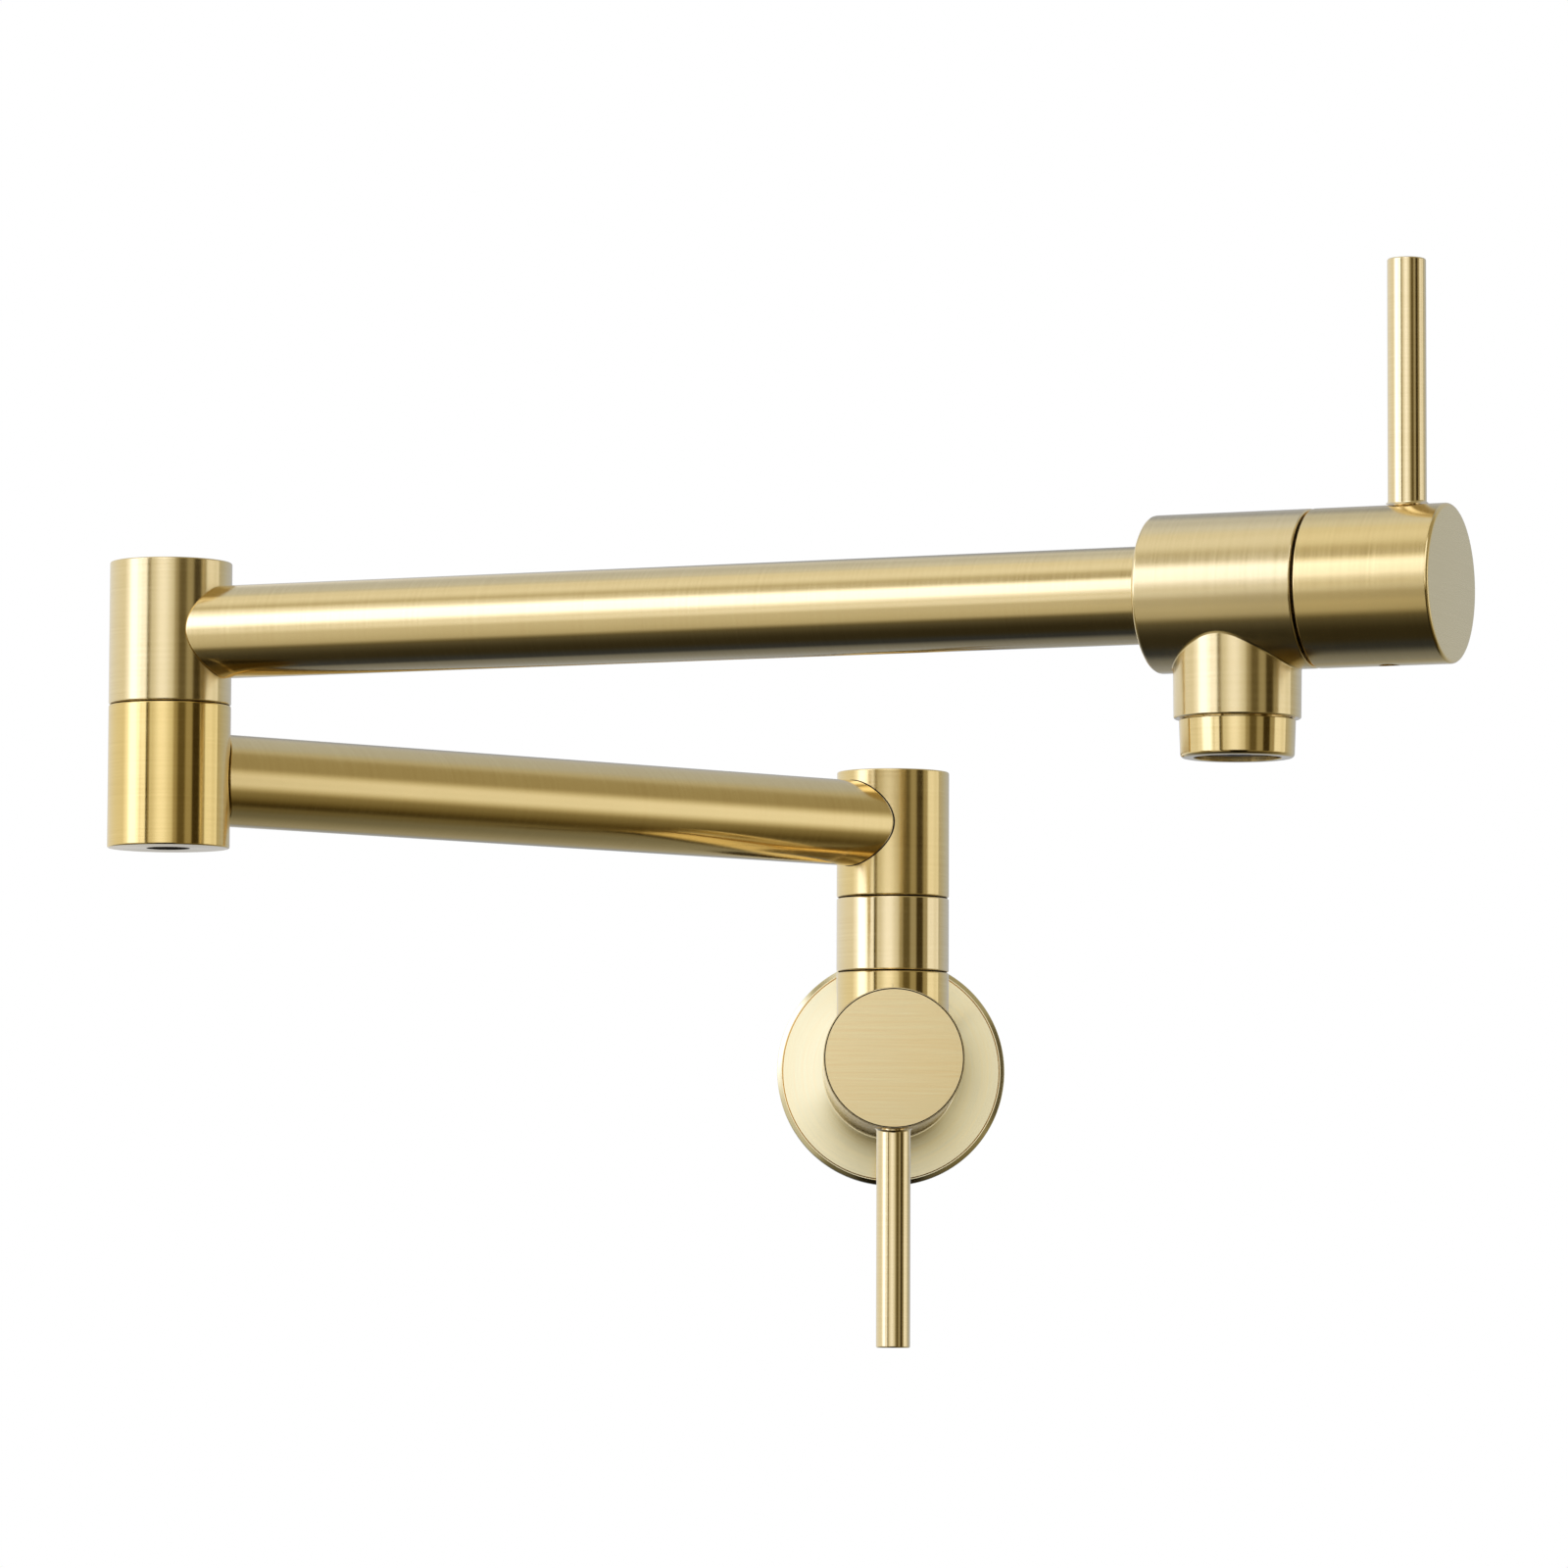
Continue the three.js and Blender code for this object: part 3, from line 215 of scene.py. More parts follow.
tube_socket_floor = -VALVE_BACK + TUBE_SOCKET_DEPTH + SEAT_GAP
thread_low = body_front + SEAT_GAP - HEADWORK_THREAD_LENGTH
spline_high = cap_floor + SPLINE_LENGTH

washer_room = SLIP_WASHER_THICKNESS + 2 * SEAT_GAP
neck_top = NECK_HEIGHT - SEAT_GAP / 2
nut_bottom = NECK_HEIGHT + SEAT_GAP / 2
nut_seam = NECK_HEIGHT + NUT_HEIGHT
nut_top = nut_seam - SEAT_GAP / 2
wall_knuckle_bottom = nut_seam + SEAT_GAP / 2
wall_knuckle_top = nut_seam + WALL_KNUCKLE_HEIGHT
nut_thread = KNUCKLE_RADIUS - NUT_WALL
neck_stub_radius = nut_thread - SEAT_GAP
neck_stub_top = NECK_HEIGHT + NECK_STUB_LENGTH
post_flange_bottom = neck_stub_top + SEAT_GAP
post_flange_top = post_flange_bottom + POST_FLANGE_THICKNESS
nut_web_bottom = post_flange_top + washer_room
neck_post_bottom = post_flange_bottom - NECK_POST_DEPTH

elbow_bottom = INNER_TUBE_HEIGHT - KNUCKLE_HEIGHT / 2
elbow_seam = elbow_bottom + KNUCKLE_HEIGHT
lower_knuckle_top = elbow_seam - ELBOW_GAP / 2
upper_knuckle_bottom = elbow_seam + ELBOW_GAP / 2
upper_knuckle_top = elbow_seam + KNUCKLE_HEIGHT
outer_tube_height = elbow_seam + KNUCKLE_HEIGHT / 2
outer_tube_end = OUTER_ARM_LENGTH - VALVE_BACK + TUBE_SOCKET_DEPTH
screw_ceiling = elbow_bottom + SCREW_RECESS_DEPTH
elbow_post_bottom = screw_ceiling + ELBOW_WEB + SEAT_GAP
screw_washer_low = screw_ceiling - SEAT_GAP - SCREW_WASHER_THICKNESS
screw_head_high = screw_washer_low - SEAT_GAP

post_bore = POST_RADIUS + SEAT_GAP
tube_inside = TUBE_RADIUS - TUBE_WALL
spigot_radius = tube_inside - SEAT_GAP
tube_waterway = spigot_radius - SPIGOT_WALL
washer_inner = POST_RADIUS + 2 * SEAT_GAP
washer_outer = washer_inner + SLIP_WASHER_WIDTH

spout_end = SPOUT_LENGTH - SEAT_GAP / 2
aerator_shoulder = SPOUT_LENGTH + SEAT_GAP / 2
aerator_top = aerator_shoulder - AERATOR_THREAD_LENGTH
aerator_bottom = SPOUT_LENGTH + AERATOR_HEIGHT
aerator_inside = AERATOR_THREAD_RADIUS - AERATOR_WALL
insert_radius = aerator_inside - SEAT_GAP
gasket_low = aerator_top - SEAT_GAP - AERATOR_GASKET_THICKNESS
diffuser_high = aerator_top + DIFFUSER_THICKNESS
insert_low = diffuser_high + SEAT_GAP
insert_high = aerator_bottom - AERATOR_LIP - SEAT_GAP

# ---- frames

X, Y, Z = Vector((1, 0, 0)), Vector((0, 1, 0)), Vector((0, 0, 1))


def axes_at(origin, x_axis, z_axis):
    """Matrix of a frame that is given by its origin, its +X and its +Z."""
    x, z = Vector(x_axis).normalized(), Vector(z_axis).normalized()
    turn = Matrix((x, z.cross(x), z)).transposed().to_4x4()
    return Matrix.Translation(Vector(origin)) @ turn


def arm_direction(angle):
    """Direction of an arm that is swung from straight out of the wall towards +X."""
    return Vector((sin(angle), -cos(angle), 0))


def sideways(height, way=X):
    """Place of a shape that leaves a barrel at a height, +X or another way. Its own +X runs
    along the barrel."""
    return axes_at((0, 0, height), Z, way)


neck_foot = Vector((0, -VALVE_REACH, 0))
inner_way = arm_direction(-INNER_ARM_SWING)
outer_way = arm_direction(OUTER_ARM_SWING)
elbow_foot = neck_foot + inner_way * INNER_ARM_LENGTH
outlet_centre = elbow_foot + outer_way * OUTER_ARM_LENGTH + Z * outer_tube_height

WALL_VALVE = axes_at(neck_foot, -Z, -Y)
OUTLET_VALVE = axes_at(outlet_centre, Z, outer_way)
NECK = axes_at(neck_foot, X, Z)
INNER_KNUCKLE = axes_at(neck_foot, inner_way, Z)
ELBOW = Matrix.Translation(elbow_foot)
ELBOW_LOWER = axes_at(elbow_foot, -inner_way, Z)
ELBOW_UPPER = axes_at(elbow_foot, outer_way, Z)
INNER_TUBE = axes_at(neck_foot + Z * INNER_TUBE_HEIGHT, Z, inner_way)
OUTER_TUBE = axes_at(elbow_foot + Z * outer_tube_height, Z, outer_way)

IN_PLACE = Matrix.Identity(4)
ON_BRANCH = sideways(0, -X)
ON_LEVER = sideways(lever_height)
ON_GRUB = sideways(grub_height, -X)
AERATOR = OUTLET_VALVE @ ON_BRANCH

# ---- solids

# INSIDE marks bores, faces against neighbouring parts and fine grooves; gold pieces give them
# near-black painted shade.
MAIN, BRANCH, FREE, INSIDE, FACE = range(5)  # which grain a face has, and its material slot


def add_object(name, data):
    made = bpy.data.objects.new(name, data)
    bpy.context.scene.collection.objects.link(made)
    return made


def add_mesh(name, vertices, faces, grains):
    mesh = bpy.data.meshes.new(name)
    mesh.from_pydata(vertices, [], faces)
    mesh.polygons.foreach_set("material_index", grains)
    for _ in range(FACE + 1):
        mesh.materials.append(None)
    mesh.update()
    return add_object(name, mesh)


def rounded(outline):
    """Points of an outline whose corners are (radius, height) or (radius, height, round)."""
    points = []
    for i, corner in enumerate(outline):
        here = Vector(corner[:2])
        if len(corner) < 3 or not corner[2]:
            points.append(here)
            continue
        others = outline[i - 1], outline[(i + 1) % len(outline)]
        before, after = [(Vector(other[:2]) - here).normalized() for other in others]
        half = before.angle(after) / 2
        centre = here + (before + after).normalized() * (corner[2] / sin(half))
        tangent = corner[2] / tan(half)
        start, end = [here + way * tangent - centre for way in (before, after)]
        for step in range(ROUND_STEPS + 1):
            points.append(centre + start.slerp(end, step / ROUND_STEPS).normalized() * corner[2])
    return [(p.x, p.y) for p in points]


def stepped(low, *steps):
    """Outline of stacked cylinders from a height up. A step is a radius and its upper height."""
    corners = [(0, low)]
    for radius, high in steps:
        corners += [(radius, low), (radius, high)]
        low = high
    return [*corners, (0, low)]


def skin(rows, grain=MAIN, about=IN_PLACE, sides=SIDES):
    """Closed solid through rows of points about +Z, the last of which joins the first. A row is
    (radius, height) or (radius, height, grain), and both sizes may differ round the circle."""
    angles = np.arange(sides) * (2 * pi / sides)
    vertices, starts = [], []
    for row in rows:
        starts.append(len(vertices))
        radius = np.broadcast_to(np.asarray(row[0], float), (sides,))
        height = np.broadcast_to(np.asarray(row[1], float), (sides,))
        if not radius.any():
            vertices.append((0.0, 0.0, float(height[0])))
            continue
        vertices.extend(zip(radius * np.cos(angles), radius * np.sin(angles), height))
    poles = [not np.any(row[0]) for row in rows]
    faces, grains = [], []
    for low in range(len(rows)):
        high = (low + 1) % len(rows)
        if poles[low] and poles[high]:
            continue
        a, b = starts[low], starts[high]
        look = rows[low][2] if len(rows[low]) > 2 else grain
        for i in range(sides):
            j = (i + 1) % sides
            if poles[low]:
                faces.append((a, b + j, b + i))
            elif poles[high]:
                faces.append((a + i, a + j, b))
            else:
                faces.append((a + i, a + j, b + j, b + i))
            grains.append(look)
    solid = add_mesh("solid", vertices, faces, grains)
    solid.data.transform(about)
    return solid


def turned(outline, grain=MAIN, about=IN_PLACE, sides=SIDES):
    """Solid that is turned to an outline of corners, which closes on itself."""
    return skin(rounded(outline), grain, about, sides)


def rod(radius, low, high, low_round=0, high_round=0, **options):
    corners = [(0, low), (radius, low, low_round), (radius, high, high_round), (0, high)]
    return turned(corners, **options)


def ring(inner, outer, low, high, **options):
    return turned([(inner, low), (outer, low), (outer, high), (inner, high)], **options)


def prism(loop, low, high):
    """Prism over a loop of (x, y) points."""
    count = len(loop)
    vertices = [(x, y, z) for z in (low, high) for x, y in loop]
    faces = [tuple(reversed(range(count))), tuple(range(count, 2 * count))]
    faces += [(i, (i + 1) % count, count + (i + 1) % count, count + i) for i in range(count)]
    return add_mesh("prism", vertices, faces, [FREE] * len(faces))


def polygon(radius, sides, centre=(0, 0), first=0.0):
    turns = [first + 2 * pi * i / sides for i in range(sides)]
    return [(centre[0] + radius * cos(t), centre[1] + radius * sin(t)) for t in turns]


def combined(base, operation, tools):
    """Exact boolean of a solid with each of the tools, which are used up."""
    for tool in tools:
        step = base.modifiers.new(operation, "BOOLEAN")
        step.operation, step.solver, step.object = operation, "EXACT", tool
    graph = bpy.context.evaluated_depsgraph_get()
    made = bpy.data.meshes.new_from_object(base.evaluated_get(graph))
    base.modifiers.clear()
    base.data = made
    for tool in tools:
        bpy.data.objects.remove(tool)
    return base


def cut(base, *tools):
    return combined(base, "DIFFERENCE", tools)


def join(base, *tools):
    return combined(base, "UNION", tools)


def mark(solid, grain, test):
    """Gives another grain to the faces whose centre and normal pass the test."""
    for face in solid.data.polygons:
        if test(face.center, face.normal):
            face.material_index = grain


def reach_of(barrel, radius, sides=SIDES):
    """Height at which a surface of that radius about +Z meets a barrel along +X, by angle."""
    offset = radius * np.sin(np.arange(sides) * (2 * pi / sides))
    return np.sqrt(barrel**2 - offset**2)


def foot_curve(barrel, radius, size, steps, lift=0, sides=SIDES):
    """Rows of a quarter round on a barrel, up to a radius: a fillet, or with a negative size the
    rounded edge of a coped end."""
    rows = []
    for turn in np.linspace(0, pi / 2, steps + 1):
        out = radius + size * (1 - sin(turn))
        up = abs(size) * (1 - cos(turn)) + lift
        rows.append((out, reach_of(barrel, out, sides) + up))
    return rows


def saddle(barrel, radius, about):
    """Thin concave ring that softens the corner between a barrel and its branch."""
    inset = 3 * SADDLE_SINK
    inner = (radius - inset, reach_of(barrel, radius) - inset)
    sunk = radius - SADDLE_SINK
    curve = foot_curve(barrel, sunk, SADDLE_FLARE, FLARE_STEPS, lift=-SADDLE_SINK)
    return skin([inner, *curve], FREE, about)


# ---- shading normals

TURNED_ABOUT = {MAIN: Z, BRANCH: X, INSIDE: Z, FACE: Z}
SMOOTH_ANGLE = cos(radians(32))  # wider corners stay sharp
TRUE_TILT = 0.9  # least agreement of a face's own normal with the turned one
SHARING = 8  # other faces at a point that are looked at


def column(items, attribute, kind=float, width=1):
    """One attribute of all the loops, vertices or faces of a mesh."""
    values = np.zeros(len(items) * width, kind)
    items.foreach_get(attribute, values)
    return values.reshape(-1, width) if width > 1 else values


def dots(first, second):
    return np.einsum("ij,ij->i", first, second)


def smooth_normals(mesh):
    """Turned faces shade as true cylinders and cones, and the corners between them stay sharp."""
    vertex_of = column(mesh.loops, "vertex_index", np.int64)
    co = column(mesh.vertices, "co", width=3)
    area = column(mesh.polygons, "area")
    grain = column(mesh.polygons, "material_index", np.int64)
    corners = column(mesh.polygons, "loop_total", np.int64)
    face_of = np.repeat(np.arange(len(corners)), corners)
    flat = column(mesh.polygons, "normal", width=3)[face_of]
    ideal = flat.copy()
    for look, axis in TURNED_ABOUT.items():
        axis = np.array(axis, float)
        own = grain[face_of] == look
        arm = co[vertex_of[own]]
        arm -= np.outer(arm @ axis, axis)
        length = np.linalg.norm(arm, axis=1)
        along = flat[own] @ axis
        radial = arm / np.maximum(length, 1e-9)[:, None]
        side = np.sign(dots(radial, flat[own]))
        tilt = np.sqrt(np.clip(1 - along**2, 0, 1))
        found = along[:, None] * axis + (side * tilt)[:, None] * radial
        good = (length > 1e-4) & (dots(found, flat[own]) > TRUE_TILT)
        ideal[own] = np.where(good[:, None], found, flat[own])
    order = np.argsort(vertex_of, kind="stable")
    weighted = ideal * area[face_of][:, None]
    summed = np.zeros_like(ideal)
    for shift in range(-SHARING, SHARING + 1):
        at = np.arange(len(order)) + shift
        inside = (at >= 0) & (at < len(order))
        me, other = order[inside], order[at[inside]]
        same = vertex_of[me] == vertex_of[other]
        same &= dots(ideal[me], ideal[other]) > SMOOTH_ANGLE
        np.add.at(summed, me[same], weighted[other[same]])
    summed /= np.maximum(np.linalg.norm(summed, axis=1), 1e-12)[:, None]
    mesh.polygons.foreach_set("use_smooth", [True] * len(corners))
    mesh.normals_split_custom_set(summed.tolist())


# ---- shader helpers

NOISE_SPAN = (0.3, 0.7)  # where most values of a noise lie


class Shader:
    """Short way to write a node tree: each call adds a node and gives its output."""

    def __init__(self, tree):
        self.tree = tree
        tree.nodes.clear()

    def add(self, kind, output=0, inputs=(), **settings):
        node = self.tree.nodes.new("ShaderNode" + kind)
        for name, value in settings.items():
            setattr(node, name, value)
        for name, value in dict(inputs).items():
            self.put(node.inputs[name], value)
        return node.outputs[output]

    def put(self, socket, value):
        if isinstance(value, bpy.types.NodeSocket):
            self.tree.links.new(value, socket)
        else:
            socket.default_value = value

    def end(self, kind, surface):
        self.put(self.tree.nodes.new("ShaderNode" + kind).inputs["Surface"], surface)

    def split(self, vector):
        node = self.tree.nodes.new("ShaderNodeSeparateXYZ")
        self.put(node.inputs[0], vector)
        return node.outputs

    def math(self, operation, *values):
        return self.add("Math", inputs=enumerate(values), operation=operation)

    def plus(self, first, second):
        return self.math("ADD", first, second)

    def times(self, first, second):
        return self.math("MULTIPLY", first, second)

    def vector(self, x, y, z):
        return self.add("CombineXYZ", inputs={"X": x, "Y": y, "Z": z})

    def fade(self, value, low, high, to_low=0.0, to_high=1.0, smooth=True):
        """Value's run from low to high, turned into a run between two other values."""
        ends = {"From Min": low, "From Max": high, "To Min": to_low, "To Max": to_high}
        return self.add(
            "MapRange",
            inputs={"Value": value, **ends},
            interpolation_type="SMOOTHSTEP" if smooth else "LINEAR",
        )

    def noise(self, vector, scale, detail=2.0, turn=None, rough=0.5):
        inputs = {"Vector": vector, "Scale": scale, "Detail": detail, "Roughness": rough}
        if turn is not None:
            inputs["W"] = turn
        size = "3D" if turn is None else "4D"
        return self.add("TexNoise", inputs=inputs, noise_dimensions=size)

    def bump(self, height, strength, distance):
        inputs = {"Strength": strength, "Distance": distance, "Height": height}
        return self.add("Bump", inputs=inputs)

    def mixed_colour(self, factor, dark, light):
        inputs = {0: factor, 6: (*dark, 1), 7: (*light, 1)}
        return self.add("Mix", output=2, inputs=inputs, data_type="RGBA")


def new_material(name):
    material = bpy.data.materials.new(name)
    material.use_nodes = True
    return material, Shader(material.node_tree)


# ---- metals

STREAK_FINE = 9.0  # brush lines per millimetre, across the grain
STREAK_COARSE = 1.6
STREAK_RUN = 0.045  # how fast lines change along the grain, per millimetre
STREAK_DEPTH = 0.1  # how much slower straight lines change along Z than along X
CLOUD_SCALE = 45.0  # broad patches of tone, per metre
CLOUD_PART = 0.2  # their part of the tone
LINE_SPAN = (0.25, 0.75)
ROUGH_BY_LINE = 0.035
ROUGH_BY_CLOUD = 0.015
BRUSH_BUMP = 0.35
BRUSH_DEPTH = 4e-6
ACROSS_GRAIN = 0.25  # of a turn, so that highlights stretch across the lines


def brushed_metal(name, grain, finish, coarse_part=0.4, density=1.0, bump=1.0):
    """Brushed metal. grain is "z" or "x" for lines turned about that axis of the piece, or
    "lines" for straight lines along its Y."""
    dark, light, roughness, stretch = finish
    material, s = new_material(name)
    place = s.add("TexCoord", output="Object")
    x, y, z = [s.times(part, 1 / MM) for part in s.split(place)]
    if grain == "lines":
        across = (x, s.times(z, STREAK_DEPTH))
        run = (s.times(y, STREAK_RUN), 0.0)
        around = s.vector(0.0, 1.0, 0.0)
    else:
        first, second, along = (x, y, z) if grain == "z" else (y, z, x)
        squares = s.plus(s.math("POWER", first, 2.0), s.math("POWER", second, 2.0))
        across = (along, s.math("SQRT", squares))
        run = (s.times(first, STREAK_RUN), s.times(second, STREAK_RUN))
        flipped = s.times(second, -1.0)
        around = s.vector(flipped, first, 0.0) if grain == "z" else s.vector(0.0, flipped, first)
    tangent = s.add(
        "VectorTransform",
        inputs={"Vector": around},
        convert_from="OBJECT",
        convert_to="WORLD",
    )

    def streak(density, detail):
        spread = [s.times(part, density) for part in across]
        return s.noise(s.vector(*spread, run[0]), 1.0, detail, turn=run[1])

    fine, coarse = streak(STREAK_FINE * density, 1.0), streak(STREAK_COARSE * density, 2.0)
    cloud = s.noise(place, CLOUD_SCALE)
    lines = s.plus(s.times(fine, 1 - coarse_part), s.times(coarse, coarse_part))
    tone = s.plus(s.times(lines, 1 - CLOUD_PART), s.times(cloud, CLOUD_PART))
    by_line = (roughness - ROUGH_BY_LINE, roughness + ROUGH_BY_LINE)
    rough = s.plus(
        s.fade(lines, *LINE_SPAN, *by_line, smooth=False),
        s.fade(cloud, *NOISE_SPAN, -ROUGH_BY_CLOUD, ROUGH_BY_CLOUD, smooth=False),
    )
    bsdf = s.add(
        "BsdfPrincipled",
        inputs={
            "Base Color": s.mixed_colour(s.fade(tone, *NOISE_SPAN, smooth=False), dark, light),
            "Metallic": 1.0,
            "Roughness": rough,
            "Anisotropic": stretch,
            "Anisotropic Rotation": ACROSS_GRAIN,
            "Tangent": tangent,
            "Normal": s.bump(lines, BRUSH_BUMP, BRUSH_DEPTH * bump),
        },
    )
    s.end("OutputMaterial", bsdf)
    return material


# Darker tone, lighter tone, roughness and stretch of highlights. The gold varies by part.
FINISHES = {
    "gold_deep": ((0.86, 0.645, 0.265), (0.96, 0.745, 0.33), 0.14, 0.8),
    "gold_mid": ((0.86, 0.67, 0.33), (0.96, 0.775, 0.4), 0.14, 0.8),
    "gold_fair": ((0.865, 0.69, 0.375), (0.96, 0.795, 0.455), 0.14, 0.8),
    "gold_pale": ((0.87, 0.715, 0.42), (0.965, 0.81, 0.51), 0.14, 0.8),
    "gold_soft": ((0.86, 0.7, 0.39), (0.96, 0.8, 0.48), 0.2, 0.8),
    "gold_satin": ((0.86, 0.67, 0.33), (0.96, 0.775, 0.4), 0.19, 0.8),
    "gold_lathed": ((0.97, 0.85, 0.55), (1.0, 0.95, 0.71), 0.13, 1.0),
    "gold_face": ((0.89, 0.675, 0.345), (1.0, 0.865, 0.52), 0.24, 0.8),
    "gold_calm": ((0.86, 0.715, 0.385), (0.94, 0.795, 0.455), 0.26, 0.8),
    "plain_brass": ((0.48, 0.31, 0.11), (0.62, 0.43, 0.18), 0.36, 0.4),
    "steel": ((0.36, 0.36, 0.35), (0.5, 0.5, 0.49), 0.3, 0.4),
}


def metal(name, grain, **options):
    """The metal of that name and grain, made once, with the options of its first use."""
    own_name = f"{name}_{grain}"
    known = bpy.data.materials.get(own_name)
    return known or brushed_metal(own_name, grain, FINISHES[name], **options)


# ---- soft and moulded materials

MOULDED_SPREAD = 0.06  # how much the roughness varies
MOULDED_CLOUDS = 20  # how much larger the patches of tone are than the grain


def moulded(name, dark, light, roughness, grain_scale, strength, depth=2e-5):
    """Rubber, foam, plastic, ceramic, paint or near-black painted shade, with a fine surface grain."""
    material, s = new_material(name)
    place = s.add("TexCoord", output="Object")
    grains = s.noise(place, grain_scale, 3.0, rough=0.6)
    cloud = s.noise(place, grain_scale / MOULDED_CLOUDS)
    spread = (roughness - MOULDED_SPREAD, roughness + MOULDED_SPREAD)
    bsdf = s.add(
        "BsdfPrincipled",
        inputs={
            "Base Color": s.mixed_colour(s.fade(cloud, *NOISE_SPAN), dark, light),
            "Roughness": s.fade(grains, *NOISE_SPAN, *spread),
            "Normal": s.bump(grains, strength, depth),
        },
    )
    s.end("OutputMaterial", bsdf)
    return material


RUBBER = moulded("rubber", (0.01, 0.01, 0.01), (0.02, 0.02, 0.02), 0.7, 2500.0, 0.3)
FOAM = moulded("foam", (0.018, 0.018, 0.018), (0.045, 0.045, 0.045), 0.9, 900.0, 0.9, 2e-4)
SLIP_PLASTIC = moulded("slip_plastic", (0.74, 0.72, 0.66), (0.84, 0.82, 0.77), 0.5, 1500.0, 0.2)
CERAMIC = moulded("ceramic", (0.84, 0.81, 0.74), (0.9, 0.88, 0.83), 0.2, 1800.0, 0.1)
# Near-black painted shade for bores, faces against neighbouring parts and the fine lines at joints and
# grooves.
PAINTED_SHADE = moulded("shaded_seam", (0.012, 0.009, 0.005), (0.03, 0.022, 0.012), 0.8, 2000.0, 0.3)
GREY, PALE_GREY = (0.085, 0.088, 0.096), (0.125, 0.128, 0.136)
GREY_PLASTIC = moulded("grey_plastic", GREY, PALE_GREY, 0.45, 1500.0, 0.3)

# ---- pieces

PLAIN = {"foam": FOAM, "grey_plastic": GREY_PLASTIC}
PLAIN |= {name: metal(name, "z") for name in ("plain_brass", "steel")}


def piece(name, solid, place, body, node, looks):
    """Places a solid, gives its grains their materials and hides the CAD node that it stands for."""
    mesh = solid.data
    mesh.transform(Matrix.Scale(MM, 4))
    turn = place.to_3x3().to_4x4()
    if (turn @ Z - Z).length < 1e-6:  # upright pieces turn in their mesh, so their box stays tight
        mesh.transform(turn)
        turn = IN_PLACE
    smooth_normals(mesh)
    for grain in range(FACE + 1):
        mesh.materials[grain] = looks.get(grain, looks[MAIN])
    solid.name = mesh.name = name
    solid.matrix_world = Matrix.Translation(place.translation * MM) @ turn
    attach(solid, body)
    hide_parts(node)


def plain(name, solid, place, body, node, slot):
    """A piece in one material, which its slot names."""
    piece(name, solid, place, body, node, {MAIN: PLAIN[slot]})


def golden(name, solid, place, body, node, tone="mid", looks=(), **finish):
    """A piece in satin gold, turned about its Z, with its branch turned about its X. Its INSIDE faces
    get near-black painted shade.
    """
    main, branch = [metal(f"gold_{tone}", grain, **finish) for grain in ("z", "x")]
    materials = {MAIN: main, BRANCH: branch, INSIDE: PAINTED_SHADE, **dict(looks)}
    piece(name, solid, place, body, node, materials)


# ---- wall flange and inlet


def fine_groove(radius, height):
    """Outline of a V groove round a face, from its outside in."""
    half = CAP_LINE / 2
    return [(radius + half, height), (radius, height - CAP_LINE), (radius - half, height)]


def darken_groove(solid, radius, height):
    # The groove's faces take the INSIDE grain: painted shade on the wall cap, paler gold on the
    # flange.
    def in_groove(centre, normal):
        near = abs(centre.xy.length - radius) < CAP_LINE
        return near and NEAR < height - centre.z < CAP_LINE

    mark(solid, INSIDE, in_groove)


def flange():
    """Plate whose face falls away from the barrel in a shallow curve, with a line by its rim."""
    rim = FLANGE_RADIUS - FLANGE_BEVEL
    lip, lip_front = VALVE_RADIUS + FLANGE_LIP_GAP, flange_front - FLANGE_LIP_SETBACK
    hub = hub_bore + FLANGE_HUB_WALL
    inside, floor = FLANGE_RADIUS - FLANGE_WALL, flange_front - FLANGE_WALL - FLANGE_FALL
    edge = rim - FLANGE_LINE
    line = edge + CAP_LINE / 2
    fall = []
    for part in np.linspace(1, 0, FALL_STEPS):
        out = (edge - hub_bore) * part
        down = FLANGE_FALL * (1 - exp(-out / FLANGE_FLARE))
        fall.append((hub_bore + out, flange_front - down))
    rim_height = fall[0][1]
    plate = turned([
        (lip, hub_back, TRIM_ROUND), (hub, hub_back, TRIM_ROUND), (hub, floor), (inside, floor),
        (inside, wall_plane), (FLANGE_RADIUS, wall_plane, FINE_ROUND),
        (FLANGE_RADIUS, rim_height - FLANGE_BEVEL / 2, BEVEL_ROUND),
        (rim, rim_height, FINE_ROUND), *fine_groove(line, rim_height), *fall[1:],
        (hub_bore, lip_front), (lip, lip_front),
    ])
    darken_groove(plate, line, rim_height)
    return plate


def gasket():
    inner = hub_bore + FLANGE_HUB_WALL + SEAT_GAP
    outer = FLANGE_RADIUS - FLANGE_WALL - SEAT_GAP
    return ring(inner, outer, wall_plane + SEAT_GAP, flange_front - FLANGE_WALL - SEAT_GAP)


def threaded_nipple():
    """Nipple whose outside is one real helix of V thread that runs out at both ends."""
    low, high = wall_plane - INLET_REACH, nipple_inner
    rows = [(INLET_BORE_RADIUS, low + NIPPLE_CHAMFER), (INLET_BORE_RADIUS + NIPPLE_CHAMFER, low)]
    around = np.arange(SIDES) / SIDES
    slope, root = 1.25, 0.12  # of the V, which is flat at its crest and root
    least_depth, first_cut = 0.35, 0.2  # parts of the depth at both ends
    steps = int((high - low) / THREAD_PITCH * THREAD_STEPS)
    for step in range(steps + 1):
        height = low + (high - low) * step / steps
        phase = (height / THREAD_PITCH - around) % 1.0
        crest = np.clip(np.abs(phase * 2 - 1) * slope - root, 0, 1)
        turns_in = min(height - low, high - height) / THREAD_PITCH
        depth = THREAD_DEPTH * min(1, turns_in + least_depth) * min(1, turns_in + first_cut)
        lead = THREAD_LEAD * max(0.0, 1.0 - turns_in)
        rows.append((INLET_THREAD_RADIUS - lead - depth * (1 - crest), height))
    return skin([*rows, (INLET_BORE_RADIUS, high)], FREE)


